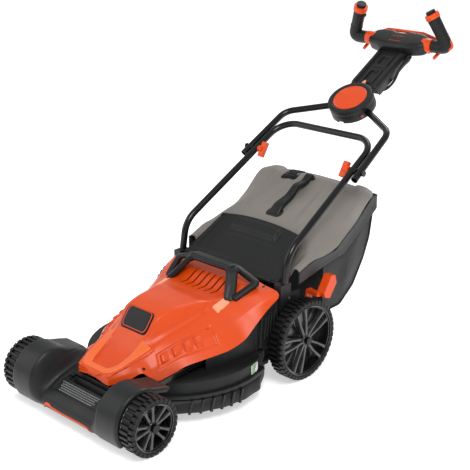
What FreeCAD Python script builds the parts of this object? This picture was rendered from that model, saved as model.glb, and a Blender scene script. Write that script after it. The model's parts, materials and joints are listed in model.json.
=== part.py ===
"""Electric push lawn mower: 42 cm cut, rear grass bag, folding T-handle.

Millimetres.  +X is the mower's left-to-right axis (right side seen from behind
is +X), the mower faces -Y and +Z is up.  Shapes are drawn from the front axle
(y = 0 at the front wheel centres, z = 0 on the ground) and shifted once, when
they are written, so that the origin is under the middle of the machine.
"""
import FreeCAD
import Part
import os
from math import acos, atan2, cos, degrees, pi, radians, sin, tan

V = FreeCAD.Vector
X_AXIS = V(1, 0, 0)
Y_AXIS = V(0, 1, 0)
Z_AXIS = V(0, 0, 1)

# ---------------------------------------------------------------- overall
ORIGIN_Y = 593.1            # origin behind the front axle: middle of the length
WALL = 3.0                  # moulded shells
SHELL_GAP = 0.5             # between separate housings that only face each other

# ---------------------------------------------------------------- cutting
CUT_WIDTH = 420.0           # blade tip circle
BLADE_Y = 296.0             # blade axis behind the front axle
BLADE_Z = 45.0              # blade underside at the middle height setting
BLADE_THICKNESS = 3.0
BLADE_CHORD = 48.0
TIP_CLEARANCE = 14.0        # blade tip to skirt
SKIRT_WALL = 4.0
SKIRT_BOTTOM = 24.0
ROOF_Z = 104.0              # top of the cutting chamber
LEDGE_WIDTH = 11.0          # shelf round the skirt
LEDGE_Z = 66.0
LEDGE_HEIGHT = 9.0

# ---------------------------------------------------------------- wheels
WHEELBASE = 534.0
REAR_DRAWN_AT = 534.0       # wheelbase for which the flap, handle and bag points are written
FRONT_R = 72.0
REAR_R = 108.0
TYRE_WIDTH = 44.0
TRACK_OUT = 244.0           # outer face of the tyres from the centre plane
TYRE_DEPTH = 13.0
RIM_RING = 6.0
HUB_R = 15.0
SPOKES = 5
SPOKE_WIDTH = 9.0
SPOKE_THICKNESS = 9.0
BORE_CLEARANCE = 0.05       # radial running clearance of hubs and pivots
WHEEL_SIDE_GAP = 2.0        # tyre to anything beside it

# ---------------------------------------------------------------- height adjustment
CRANK_R = 50.0              # wheel centre ahead of its crank pivot
AXLE_R = 6.0
CRANK_BEND = 11.0
ARM_INSET = 12.0            # crank arm centre inside the tyre's inner face
PIN_ARM = 40.0              # link pin above the crank pivot
LINK_X = 150.0              # link bar, inside the right fender
PIN_R = 4.0
LINK_THICKNESS = 6.0
LINK_HEIGHT = 12.0
OPEN_PIN_CLEARANCE = 0.6    # at the front end of the link, where the loop is open
LEVER_THICKNESS = 6.0

# ---------------------------------------------------------------- motor
MOTOR_R = 56.0
MOTOR_BOTTOM = 122.0
MOTOR_HEIGHT = 88.0
SHAFT_R = 7.0
FAN_R = 55.0

# ---------------------------------------------------------------- front cowl
COWL_FRONT = -68.0
COWL_REAR = 92.0
COWL_BOTTOM = 26.0
FENDER_R = 78.0
FENDER_INNER = 118.0
SLOT_HALF = 74.0
SLOT_Y = (-6.0, 19.0)

# ---------------------------------------------------------------- rear body, flap and brackets
REAR_BODY_X = 184.0
REAR_BODY_FRONT = 404.0
REAR_BODY_END = WHEELBASE + 32.0
REAR_BODY_TOP = 228.0
REAR_STEP_Z = 180.0
BAND_INSET = 11.0           # deck's upstand inside the hood's lower edge
CHUTE_X = (-120.0, 120.0)
CHUTE_END = WHEELBASE + 56.0
FLAP_HINGE_Y = 492.0
FLAP_HINGE_Z = 258.0
FLAP_HALF = 171.0
FLAP_LENGTH = 152.0
FLAP_SLOPE = radians(33.0)
FLAP_THICKNESS = 5.0
FLAP_BARREL_R = 6.5
FLAP_PIN_R = 3.0
FLAP_PIN_END = 176.5
BRACKET_Y = (476.5, 516.0)
BRACKET_Z = (212.0, 262.0)
BRACKET_SCREW = (510.0, 222.0)
SCREW_R = 3.0

# ---------------------------------------------------------------- handle
HANDLE_SLOPE = radians(30.7)
TUBE_R = 9.5
TUBE_WALL = 1.5
LOWER_FOOT = V(187, 494, 218)
LOWER_BEND = V(187.5, 515, 339)
LOWER_CORNER = V(168, 892, 559)
LOWER_BEND_R = 75.0
LOWER_CORNER_R = 62.0
BRACKET_X = (LOWER_FOOT.x - TUBE_R - 4, LOWER_FOOT.x + TUBE_R + 0.5)
FOLD_Y = 786.0
FOLD_Z = 497.0
BOLT_R = 3.5
FOLD_GAP = 5.5              # between the lower and upper tubes, filled by a washer
UPPER_TAIL = 30.0           # upper tube past the bolt
UPPER_BEND = V(187, 924.6, 579.2)
UPPER_BEND_R = 48.0
HUB_CENTRE = V(0, 999, 624.5)
HUB_R_OUT = 66.5
HUB_BASE = -24.0            # along the hub axis
HUB_SPLIT = 0.4
SPIGOT_R = 30.0             # turning spigot under the stem
HUB_TOP = 16.0
DISC_R = 50.0
DISC_HEIGHT = 3.0
STEM_HALF = 47.0
STEM_LENGTH = 228.0
STEM_TOP = 6.0
STEM_BOTTOM = -22.0
HEAD_HALF = 85.0
HEAD_FRONT = 225.0
HEAD_REAR = 289.0
HEAD_BOTTOM = -12.0
HEAD_TOP = 30.0
GRIP_AXIS_V = 266.0
GRIP_AXIS_W = 12.0
GRIP_CORNER_U = 168.0
GRIP_TOP = (121.0, 291.0, 118.0)
GRIP_BEND = 30.0
GRIP_R = 17.0
COLLAR_R = 20.0
COLLAR_END = 116.0
RING_R = 21.0
RING_LENGTH = 15.0
CAP_R = 14.0
CAP_LENGTH = 9.0
BAIL_R = 5.0
BAIL_PIVOT = (278.0, -18.0)
BAIL_PIN_R = 3.0
BUTTON_R = 6.0
BUTTON_DROP = 15.5          # from the ring down to the button's middle
BUTTON_TRAVEL = 3.0

# ---------------------------------------------------------------- lead
LEAD_R = 3.75
RELIEF_U = 57.0             # strain relief beside the stem, along it
RELIEF_W = -3.0
RELIEF_V = 192.0
LEAD_ROUTE = [
    V(57, 1165.6, 719.9), V(57, 1149, 710), V(56, 1138, 693), V(52, 1129, 671), V(39, 1117, 651),
    V(24, 1109, 643), V(-8, 1107, 639.5), V(-32, 1124, 648.5),
]
PLUG_LENGTH = 54.0
PLUG_R = 14.0

# ---------------------------------------------------------------- grass bag
BAG_RIM_HALF = 203.0
BAG_FRONT = 652.0


# ================================================================ helpers
def write(name, *shapes, behind=0.0):
    """Write one node, shifted from the front-axle frame to the origin and back by behind."""
    solids = []
    for shape in shapes:
        solids.extend(shape.Solids)
    group = solids[0] if len(solids) == 1 else Part.makeCompound(solids)
    group = group.copy()
    group.translate(V(0, behind - ORIGIN_Y, 0))
    volume = sum(s.Volume for s in solids)
    print(f"{name:22s} solids {len(solids):2d} volume {volume / 1000:9.1f} cm3 valid {group.isValid()}")
    group.exportStep(f"parts/{name}.step")


def block(x0, x1, y0, y1, z0, z1):
    return Part.makeBox(x1 - x0, y1 - y0, z1 - z0, V(x0, y0, z0))


def rod_x(x0, x1, y, z, r):
    return Part.makeCylinder(r, x1 - x0, V(x0, y, z), X_AXIS)


def rod_z(x, y, z0, z1, r):
    return Part.makeCylinder(r, z1 - z0, V(x, y, z0), Z_AXIS)


def fuse(shapes):
    result = shapes[0]
    for shape in shapes[1:]:
        result = result.fuse(shape).removeSplitter()
    return result


def mirrored(shape):
    return shape.mirror(V(0, 0, 0), X_AXIS)


def prism_x(points, x0, x1):
    """Solid from a closed outline of (y, z) points, from x0 to x1."""
    wire = Part.makePolygon([V(x0, y, z) for y, z in points] + [V(x0, *points[0])])
    return Part.Face(wire).extrude(V(x1 - x0, 0, 0))


def prism_z(points, z0, z1):
    wire = Part.makePolygon([V(x, y, z0) for x, y in points] + [V(points[0][0], points[0][1], z0)])
    return Part.Face(wire).extrude(V(0, 0, z1 - z0))


def section(y, points):
    """Closed outline in the plane of one station y, from (x, z) points."""
    corners = [V(x, y, z) for x, z in points]
    return Part.makePolygon(corners + [corners[0]])


def ruled(sections):
    return Part.makeLoft(sections, True, True)


def both_sides(half_outline):
    """Left-to-right outline from the (x, z) points of the right half, outside first."""
    left = [(-x, z) for x, z in half_outline]
    return left + [p for p in reversed(half_outline) if p[0] > 0]


def path_edges(points, radii):
    """Straight runs joined by tangent arcs; radii has one value per inner point."""
    edges = []
    start = points[0]
    for before, corner, after, radius in zip(points, points[1:], points[2:], radii):
        a = (before - corner).normalize()
        b = (after - corner).normalize()
        half = acos(max(-1.0, min(1.0, a.dot(b)))) / 2
        reach = radius / tan(half)
        first = corner + a * reach
        last = corner + b * reach
        bisector = (a + b).normalize()
        middle = corner + bisector * (radius / sin(half) - radius)
        edges.append(Part.LineSegment(start, first).toShape())
        edges.append(Part.Arc(first, middle, last).toShape())
        start = last
    edges.append(Part.LineSegment(start, points[-1]).toShape())
    return edges


def bent_bar(points, radii, r):
    """Round bar along straight runs and tangent arcs."""
    wire = Part.Wire(path_edges(points, radii))
    circle = Part.Wire(Part.makeCircle(r, points[0], points[1] - points[0]))
    return wire.makePipeShell([circle], True, True)


def bent_tube(points, radii, r, wall):
    outer = bent_bar(points, radii, r)
    stretch = [points[0] - (points[1] - points[0]).normalize() * 2] + points[1:-1]
    stretch.append(points[-1] + (points[-1] - points[-2]).normalize() * 2)
    return outer.cut(bent_bar(stretch, radii, r - wall))


def cord_radii(points):
    """Largest arc at each inner point: 0.45 of the shorter run over tan(half turn)."""
    radii = []
    for before, corner, after in zip(points, points[1:], points[2:]):
        run = min((corner - before).Length, (after - corner).Length)
        turn = (corner - before).getAngle(after - corner)
        radii.append(0.45 * run / tan(turn / 2))
    return radii


def on_handle(u, v, w):
    """Point given across (u), along (v) and square to (w) the handle, from the hub centre."""
    along = V(0, cos(HANDLE_SLOPE), sin(HANDLE_SLOPE))
    square = V(0, -sin(HANDLE_SLOPE), cos(HANDLE_SLOPE))
    return HUB_CENTRE + X_AXIS * u + along * v + square * w


def to_handle(shape):
    """Move a shape drawn with the hub centre at zero, v on Y and w on Z, to the handle."""
    moved = shape.copy()
    moved.rotate(V(0, 0, 0), X_AXIS, degrees(HANDLE_SLOPE))
    moved.translate(HUB_CENTRE)
    return moved


# ================================================================ derived sizes
SKIRT_R = CUT_WIDTH / 2 + TIP_CLEARANCE + SKIRT_WALL
TYRE_IN = TRACK_OUT - TYRE_WIDTH
ARM_X = TYRE_IN - ARM_INSET
FRONT_PIVOT = (CRANK_R, FRONT_R)
REAR_PIVOT = (WHEELBASE + CRANK_R, REAR_R)
STUB_END = TRACK_OUT + 1.0
REAR_SHIFT = WHEELBASE - REAR_DRAWN_AT
BAG_HALF = TYRE_IN - LEVER_THICKNESS - 2.5
FOLD_LOWER_X = LOWER_BEND.x + (LOWER_CORNER.x - LOWER_BEND.x) * (FOLD_Y - LOWER_BEND.y) / (
    LOWER_CORNER.y - LOWER_BEND.y)
UPPER_X = FOLD_LOWER_X + 2 * TUBE_R + FOLD_GAP

# Hood stations from nose to rear: y, lower edge (x, z), shoulder line (x, z), top edge (x, z).
HOOD = [
    (22, (57, 104), (53, 126), (42, 129)),
    (62, (84, 114), (66, 138), (48, 137)),
    (88, (102, 128), (72, 147), (50, 148)),
    (118, (122, 105), (77, 157), (50, 166)),
    (141, (134, 110), (81, 166), (52, 183)),
    (186, (156, 132), (89, 183), (62, 232)),
    (243, (176, 140), (98, 197), (72, 241)),
    (300, (190, 146), (106, 212), (84, 241)),
    (345, (193, 156), (113, 222), (92, 236)),
    (384, (194, 182), (124, 232), (98, 236)),
    (430, (194, 212), (160, 246), (112, 258)),
    (472, (194, 232), (186, 250), (120, 260)),
]


# ================================================================ deck
def skirt_ring(r0, r1, z0, z1):
    return rod_z(0, BLADE_Y, z0, z1, r1).cut(rod_z(0, BLADE_Y, z0, z1, r0))


def hood_band(inset, depth):
    """Closed loft under the hood: from depth up to just inside the hood's lower edge."""
    sections = []
    for y, (x, z), _, _ in HOOD[3:]:
        half = x - inset
        sections.append(section(y, [(-half, depth), (half, depth), (half, z + 3), (-half, z + 3)]))
    return ruled(sections)


def chute_outline(grow):
    """Side outline of the discharge chute, from the chamber up to the bag."""
    return [(470, 58 - grow), (CHUTE_END, 136 - grow), (CHUTE_END, 236 + grow),
            (520, 226 + grow), (470, 140 + grow)]


def rear_outline(inset):
    """Side outline of the deck's rear body: low under the hood, full height behind it."""
    step_y = HOOD[-1][0] + WALL + SHELL_GAP + inset
    return [(REAR_BODY_FRONT + inset, 62 - inset), (REAR_BODY_END + inset, 62 - inset),
            (REAR_BODY_END + inset, REAR_BODY_TOP - inset), (step_y, REAR_BODY_TOP - inset),
            (step_y, REAR_STEP_Z - inset), (REAR_BODY_FRONT + inset, REAR_STEP_Z - inset)]


def deck_shell():
    roof = rod_z(0, BLADE_Y, ROOF_Z - SKIRT_WALL, ROOF_Z, SKIRT_R)
    skirt = skirt_ring(SKIRT_R - SKIRT_WALL, SKIRT_R, SKIRT_BOTTOM, ROOF_Z)
    ledge = skirt_ring(SKIRT_R - SKIRT_WALL, SKIRT_R + LEDGE_WIDTH, LEDGE_Z, LEDGE_Z + LEDGE_HEIGHT)
    chamber = hood_band(BAND_INSET, ROOF_Z - 2).cut(hood_band(BAND_INSET + WALL, ROOF_Z - 12))
    rear = prism_x(rear_outline(0), -REAR_BODY_X, REAR_BODY_X)
    rear = rear.cut(prism_x(rear_outline(WALL), -REAR_BODY_X + WALL, REAR_BODY_X - WALL))
    rear = rear.cut(rod_z(0, BLADE_Y, 0, ROOF_Z, SKIRT_R - 1))
    ledge = ledge.cut(block(-300, 300, -100, COWL_REAR + 10, 0, 200))
    shell = fuse([roof, skirt, ledge, chamber, rear])
    inside = rod_z(0, BLADE_Y, SKIRT_BOTTOM - 5, ROOF_Z - SKIRT_WALL, SKIRT_R - SKIRT_WALL)
    shell = shell.cut(inside)
    for outer_x in (-1, 1):
        wheel = rod_x(TYRE_IN - WHEEL_SIDE_GAP, TRACK_OUT + 5, WHEELBASE, REAR_R + 5, REAR_R + 36)
        wheel = wheel if outer_x > 0 else mirrored(wheel)
        shell = shell.cut(wheel)
    shell = shell.cut(rod_z(0, BLADE_Y, ROOF_Z - 10, ROOF_Z + 5, 32))
    shell = shell.cut(prism_x(chute_outline(WALL), CHUTE_X[0] - WALL, CHUTE_X[1] + WALL))
    slot = (LINK_X - 4, LINK_X + LINK_THICKNESS + 8)
    shell = shell.cut(block(*slot, REAR_BODY_FRONT - 5, REAR_BODY_FRONT + 12, 108, 160))
    shell = shell.cut(block(*slot, 170, 250, ROOF_Z + 0.5, 150))
    for sign in (-1, 1):
        seat = block(BRACKET_X[0] - SHELL_GAP, REAR_BODY_X + 5, BRACKET_Y[0] - SHELL_GAP,
                     BRACKET_Y[1] + SHELL_GAP, BRACKET_Z[0] - SHELL_GAP, REAR_BODY_TOP + 5)
        seat.translate(V(0, REAR_SHIFT, 0))
        shell = shell.cut(seat if sign > 0 else mirrored(seat))
    return shell.cut(block(-REAR_BODY_X - 5, REAR_BODY_X + 5, REAR_BODY_END - 36, REAR_BODY_END + 5, 50, 152))


def rear_chute():
    tunnel = prism_x(chute_outline(WALL - SHELL_GAP), CHUTE_X[0] - WALL + SHELL_GAP,
                     CHUTE_X[1] + WALL - SHELL_GAP)
    hole = prism_x([(460, 58), (470, 58), (CHUTE_END + 5, 140), (CHUTE_END + 5, 236),
                    (520, 226), (470, 140), (460, 140)], *CHUTE_X)
    tunnel = tunnel.cut(hole)
    return tunnel.cut(rod_z(0, BLADE_Y, 0, ROOF_Z + SHELL_GAP, SKIRT_R + SHELL_GAP))


def edge_combs():
    """Slanted fins under the ledge that steer the grass at the lawn's edge."""
    fins = []
    inner = SKIRT_R + SHELL_GAP
    for side in (-1, 1):
        for step in range(6):
            angle = radians(90 - side * (52 + 6.5 * step))
            fin = block(-3, 3, inner + 0.3, inner + LEDGE_WIDTH + 5, SKIRT_BOTTOM + 4, LEDGE_Z - SHELL_GAP)
            fin.rotate(V(0, 0, 0), V(0, 1, 0), side * 14)
            keep = block(-40, 40, inner, inner + LEDGE_WIDTH + 5, SKIRT_BOTTOM, LEDGE_Z - SHELL_GAP)
            fin = fin.common(keep)
            fin.rotate(V(0, 0, 0), Z_AXIS, degrees(angle) - 90 + 180)
            fin.translate(V(0, BLADE_Y, 0))
            fins.append(fin)
    return fins


# ================================================================ front cowl
COWL_TOP = [(COWL_FRONT + 4, COWL_BOTTOM), (COWL_FRONT, 40), (-28, 78), (18, 99), (62, 110),
            (COWL_REAR, 118), (COWL_REAR, 46), (COWL_FRONT + 30, COWL_BOTTOM)]


def front_cowl():
    middle = prism_x(COWL_TOP, -FENDER_INNER - 2, FENDER_INNER + 2)
    inner = [(COWL_FRONT + 8, COWL_BOTTOM - 5), (COWL_FRONT + 4, 39), (-26, 74), (18, 95.5), (62, 106.5),
             (COWL_REAR - WALL, 114.5), (COWL_REAR - WALL, 20)]
    shell = middle.cut(prism_x(inner, -FENDER_INNER - 5, FENDER_INNER + 5))
    parts = [shell]
    outer_x = TYRE_IN - WHEEL_SIDE_GAP
    for mirror in (False, True):
        drum = rod_x(FENDER_INNER, outer_x, 0, FRONT_R, FENDER_R)
        drum = fuse([drum, block(FENDER_INNER, outer_x, 0, COWL_REAR, 46, FRONT_R + 58)])
        hollow = rod_x(FENDER_INNER + WALL, outer_x - WALL, 0, FRONT_R, FENDER_R - WALL)
        hollow = fuse([hollow, block(FENDER_INNER + WALL, outer_x - WALL, 0, COWL_REAR - WALL, 10,
                                     FRONT_R + 55)])
        drum = drum.cut(hollow)
        drum = drum.cut(block(FENDER_INNER - 5, outer_x + 5, -100, 100, -20, COWL_BOTTOM))
        window = block(outer_x - 6, outer_x + 6, -14, 60, FRONT_R - 38, FRONT_R + 38)
        inner_gap = block(FENDER_INNER - 5, FENDER_INNER + 6, 20, COWL_REAR - WALL, 30, 92)
        drum = drum.cut(fuse([window, block(outer_x - 6, outer_x + 6, -14, 60, 10, FRONT_R)]))
        drum = drum.cut(inner_gap)
        parts.append(mirrored(drum) if mirror else drum)
    cowl = fuse(parts)
    cowl = cowl.cut(block(-SLOT_HALF, SLOT_HALF, SLOT_Y[0], SLOT_Y[1], 60, 130))
    cowl = cowl.cut(rod_z(0, BLADE_Y, 0, ROOF_Z + SHELL_GAP, SKIRT_R + LEDGE_WIDTH + SHELL_GAP))
    cowl = cowl.cut(block(LINK_X - 6, LINK_X + LINK_THICKNESS + 6, COWL_REAR - 8, COWL_REAR + 5, 96, 128))
    return cowl.cut(hood_footprint())


def hood_footprint():
    """Room for the hood's lower rim where it stands on the cowl."""
    rows = [section(y, [(-x - 1, 90), (x + 1, 90), (x + 1, 190), (-x - 1, 190)])
            for y, (x, _), _, _ in HOOD[:4]]
    return ruled(rows).common(block(-200, 200, 20, COWL_REAR + 10, 96.9, 200))


def cowl_trim():
    strip = prism_x([(COWL_FRONT - 2.2, 34), (COWL_FRONT - 2.2, 41), (COWL_FRONT, 41),
                     (COWL_FRONT + 2, 34)], -88, 88)
    return strip.cut(front_cowl())


# ================================================================ motor hood
def hood_shell():
    sections = []
    for y, low, shoulder, top in HOOD:
        outer = [(low[0], low[1]), shoulder, top]
        inner = [(low[0] - WALL - 0.5, low[1]), (shoulder[0] - WALL + 0.3, shoulder[1] - WALL),
                 (top[0] - 1, top[1] - WALL)]
        chain = both_sides(outer)
        chain += [(x, z) for x, z in reversed(both_sides(inner))]
        sections.append(section(y, chain))
    shell = ruled(sections)
    y, low, shoulder, top = HOOD[0]
    nose = Part.Face(section(y, both_sides([low, shoulder, top]))).extrude(V(0, WALL, 0))
    y, low, shoulder, top = HOOD[-1]
    tail = Part.Face(section(y, both_sides([low, shoulder, top]))).extrude(V(0, WALL, 0))
    tail = tail.cut(block(-160, 160, y - 5, y + 10, 200, 246))
    return shell, nose, tail


def motor_hood():
    hood = fuse(list(hood_shell()))
    for step in range(6):
        x = -62 + 22 * step
        hood = hood.cut(block(x, x + 7, 378, 424, 200, 280))
    for sign in (-1, 1):
        for step in range(4):
            y = 160 + 30 * step
            louvre = block(90, 160, y, y + 8, 150 + 9 * step, 172 + 9 * step)
            hood = hood.cut(louvre if sign > 0 else mirrored(louvre))
    return hood


def hood_badge():
    """Rounded badge plate standing on the hood's front slope."""
    plate = block(-38, 38, -21, 21, 0.3, 4)
    plate = plate.makeFillet(10, [e for e in plate.Edges if abs(e.tangentAt(0).z) > 0.9])
    y0, _, _, top0 = HOOD[4]
    y1, _, _, top1 = HOOD[5]
    slope = atan2(top1[1] - top0[1], y1 - y0)
    plate.rotate(V(0, 0, 0), X_AXIS, degrees(slope))
    plate.translate(V(0, (y0 + y1) / 2 + 1, (top0[1] + top1[1]) / 2 + 1))
    return plate


def carry_handle():
    foot = V(112, 372, 243)
    corner = V(74, 420, 290)
    arch = bent_bar([V(-foot.x, foot.y, foot.z), V(-corner.x, corner.y, corner.z), corner, foot],
                    [22, 22], 11)
    brace_out = V(142, 446, 268)
    parts = [arch]
    for sign in (-1, 1):
        top = V(sign * (corner.x - 12), corner.y + 12, corner.z - 2)
        outer = V(sign * brace_out.x, brace_out.y, brace_out.z)
        low = V(sign * (foot.x + 4), foot.y + 8, foot.z + 2)
        parts.append(bent_bar([top, outer, low], [9], 6))
    parts.append(block(-72, 72, 418, 452, 283, 300))
    shape = fuse(parts)
    tail = hood_shell()[2]
    return shape.cut(fuse([hood_solid(), tail]))


def hood_solid():
    """The hood filled in, grown by the gap between housings."""
    rows = []
    for y, low, shoulder, top in HOOD:
        rows.append(section(y, both_sides([(low[0] + 0.3, low[1]), (shoulder[0] + 0.3, shoulder[1] + 0.3),
                                           (top[0], top[1] + 0.3)])))
    return ruled(rows)


def height_scale():
    plate = block(-15, 15, SKIRT_R + 0.4, SKIRT_R + 3.0, LEDGE_Z + LEDGE_HEIGHT + 2, ROOF_Z - 4)
    plate.rotate(V(0, 0, 0), Z_AXIS, -90 + 14)
    plate.translate(V(0, BLADE_Y, 0))
    return plate


# ================================================================ motor and blade
def motor_can():
    can = rod_z(0, BLADE_Y, MOTOR_BOTTOM, MOTOR_BOTTOM + MOTOR_HEIGHT, MOTOR_R)
    foot = rod_z(0, BLADE_Y, ROOF_Z + 0.1, MOTOR_BOTTOM, MOTOR_R + 10)
    foot = foot.cut(rod_z(0, BLADE_Y, ROOF_Z - 5, MOTOR_BOTTOM - 4, MOTOR_R + 4))
    can = fuse([can, foot])
    return can.cut(rod_z(0, BLADE_Y, 60, MOTOR_BOTTOM + MOTOR_HEIGHT + 5, SHAFT_R + 1))


def motor_shaft():
    return rod_z(0, BLADE_Y, BLADE_Z + BLADE_THICKNESS + 12, MOTOR_BOTTOM + MOTOR_HEIGHT + 8, SHAFT_R)


def cooling_fan():
    z0 = BLADE_Z + BLADE_THICKNESS + 22
    disc = rod_z(0, BLADE_Y, z0, z0 + 3, FAN_R)
    hub = rod_z(0, BLADE_Y, z0, z0 + 16, SHAFT_R + 5)
    blades = []
    for step in range(8):
        blade = block(SHAFT_R + 3, FAN_R - 3, -1.5, 1.5, z0 + 2, z0 + 16)
        blade.rotate(V(0, 0, 0), Z_AXIS, step * 45)
        blade.translate(V(0, BLADE_Y, 0))
        blades.append(blade)
    fan = fuse([disc, hub] + blades)
    return fan.cut(rod_z(0, BLADE_Y, z0 - 5, z0 + 30, SHAFT_R))


def blade_carrier():
    z0 = BLADE_Z + BLADE_THICKNESS
    carrier = rod_z(0, BLADE_Y, z0, z0 + 21.9, 24)
    carrier = carrier.cut(rod_z(0, BLADE_Y, z0 + 12, z0 + 30, SHAFT_R))
    return carrier.cut(rod_z(0, BLADE_Y, z0 - 5, z0 + 12, 5))


def blade():
    half = CUT_WIDTH / 2
    z0, z1 = BLADE_Z, BLADE_Z + BLADE_THICKNESS
    flat = block(-half, half, -BLADE_CHORD / 2, BLADE_CHORD / 2, z0, z1)
    flat = flat.common(rod_z(0, 0, z0, z1, half))
    lift = []
    for turn in (0, 180):
        sail = prism_x([(BLADE_CHORD / 2 - 14, z1 - 0.5), (BLADE_CHORD / 2 + 2, z1 + 14),
                        (BLADE_CHORD / 2 - 1, z1 + 15), (BLADE_CHORD / 2 - 18, z1 - 0.5)],
                       half * 0.62, half * 0.93)
        sail.rotate(V(0, 0, 0), Z_AXIS, turn)
        lift.append(sail)
    bar = fuse([flat] + lift)
    bar.translate(V(0, BLADE_Y, 0))
    return bar.cut(rod_z(0, BLADE_Y, z0 - 5, z1 + 5, 5))


def blade_bolt():
    bolt = rod_z(0, BLADE_Y, BLADE_Z - 0.1, BLADE_Z + BLADE_THICKNESS + 11, 5)
    cap = rod_z(0, BLADE_Y, BLADE_Z - 8, BLADE_Z - 0.05, 9)
    return fuse([bolt, cap])


# ================================================================ wheels and cranks
def wheel_parts(radius, y, side):
    """Tyre and rim of one wheel; side is +1 or -1."""
    x0, x1 = TYRE_IN, TRACK_OUT
    tyre = rod_x(x0, x1, y, radius, radius).cut(rod_x(x0, x1, y, radius, radius - TYRE_DEPTH))
    crown = [e for e in tyre.Edges if hasattr(e.Curve, "Radius") and abs(e.Curve.Radius - radius) < 0.01
             and e.Curve.Axis.dot(X_AXIS) ** 2 > 0.9 and e.isClosed()]
    tyre = tyre.makeChamfer(4, crown)
    ring_r = radius - TYRE_DEPTH
    ring = rod_x(x0 + 4, x1 - 4, y, radius, ring_r).cut(rod_x(x0 + 4, x1 - 4, y, radius, ring_r - RIM_RING))
    hub = rod_x(x0 + 2, x1 - 4, y, radius, HUB_R)
    spokes = []
    for step in range(SPOKES):
        spoke = block(x1 - 6 - SPOKE_THICKNESS, x1 - 6, -SPOKE_WIDTH / 2, SPOKE_WIDTH / 2,
                      HUB_R - 3, ring_r - RIM_RING + 2)
        spoke.rotate(V(0, 0, 0), X_AXIS, step * 360 / SPOKES)
        spoke.translate(V(0, y, radius))
        spokes.append(spoke)
    rim = fuse([ring, hub] + spokes)
    rim = rim.cut(rod_x(x0 - 5, x1 + 5, y, radius, AXLE_R + BORE_CLEARANCE))
    if side < 0:
        return mirrored(tyre), mirrored(rim)
    return tyre, rim


def axle_crank(pivot):
    """Bent bar: pivot across the machine, an arm each side and the wheel stubs."""
    y, z = pivot
    stub_y = y - CRANK_R
    right = [V(ARM_X, y, z), V(ARM_X, stub_y, z), V(STUB_END, stub_y, z)]
    left = [V(-p.x, p.y, p.z) for p in reversed(right)]
    bar = bent_bar(left + right, [CRANK_BEND] * 4, AXLE_R)
    arm = block(LINK_X - 5, LINK_X, y - 8, y + 8, z - 8, z + PIN_ARM + 8)
    pin = rod_x(LINK_X - 1, LINK_X + LINK_THICKNESS + 3, y, z + PIN_ARM, PIN_R)
    return fuse([bar, arm, pin])


def height_link():
    x0 = LINK_X + 0.5
    x1 = x0 + LINK_THICKNESS
    y0, z0 = FRONT_PIVOT[0], FRONT_PIVOT[1] + PIN_ARM
    y1, z1 = REAR_PIVOT[0], REAR_PIVOT[1] + PIN_ARM
    length = ((y1 - y0) ** 2 + (z1 - z0) ** 2) ** 0.5
    bar = block(x0, x1, 0, length, -LINK_HEIGHT / 2, LINK_HEIGHT / 2)
    bar.rotate(V(0, 0, 0), X_AXIS, degrees(atan2(z1 - z0, y1 - y0)))
    bar.translate(V(0, y0, z0))
    rod = fuse([bar, rod_x(x0, x1, y0, z0, 9), rod_x(x0, x1, y1, z1, 9)])
    rod = rod.cut(rod_x(x0 - 5, x1 + 5, y0, z0, PIN_R + OPEN_PIN_CLEARANCE))
    return rod.cut(rod_x(x0 - 5, x1 + 5, y1, z1, PIN_R + BORE_CLEARANCE))


def height_lever():
    """Arm beside the wheel, bar across its top and the finger paddle."""
    y, z = REAR_PIVOT
    x0 = TYRE_IN - 1.5 - LEVER_THICKNESS
    x1 = TYRE_IN - 1.5
    arm = prism_x([(y - 9, z - 10), (y + 10, z - 10), (y + 18, z + 98), (y + 16, z + 115),
                   (y - 2, z + 116), (y - 6, z + 98)], x0, x1)
    bar = prism_x([(y - 2, z + 104), (y + 16, z + 101), (y + 16, z + 113), (y - 2, z + 116)],
                  x0, TRACK_OUT - 14)
    paddle = prism_x([(y + 14, z + 101), (y + 34, z + 94), (y + 60, z + 130), (y + 54, z + 153),
                      (y + 38, z + 156), (y + 10, z + 114)], TRACK_OUT - 24, TRACK_OUT)
    lever = fuse([arm, bar, paddle])
    return lever.cut(axle_crank(REAR_PIVOT))


def wheel_caps(radius, y):
    """Snap caps that hold the wheels on their stubs."""
    cap = rod_x(STUB_END - 6, STUB_END + 3, y, radius, 10)
    cap = cap.cut(rod_x(STUB_END - 10, STUB_END, y, radius, AXLE_R))
    cap = cap.cut(rod_x(STUB_END - 10, TRACK_OUT - 3.6, y, radius, 20))
    return cap, mirrored(cap)


def axle_clamps():
    """Saddles that hold the crank pivots up against the deck."""
    clamps = []
    for (y, z), x in ((FRONT_PIVOT, 62), (REAR_PIVOT, 165)):
        saddle = block(x - 9, x + 9, y - 12, y + 12, z - 12, z + 13)
        saddle = saddle.cut(rod_x(x - 20, x + 20, y, z, AXLE_R + BORE_CLEARANCE))
        clamps += [saddle, mirrored(saddle)]
    return clamps


# ================================================================ flap
def flap_plate():
    plate = block(-FLAP_HALF, FLAP_HALF, 0, FLAP_LENGTH, 0, FLAP_THICKNESS)
    rib = block(-78, 78, FLAP_LENGTH - 46, FLAP_LENGTH - 12, FLAP_THICKNESS - 1, FLAP_THICKNESS + 8)
    return plate, rib


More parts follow.
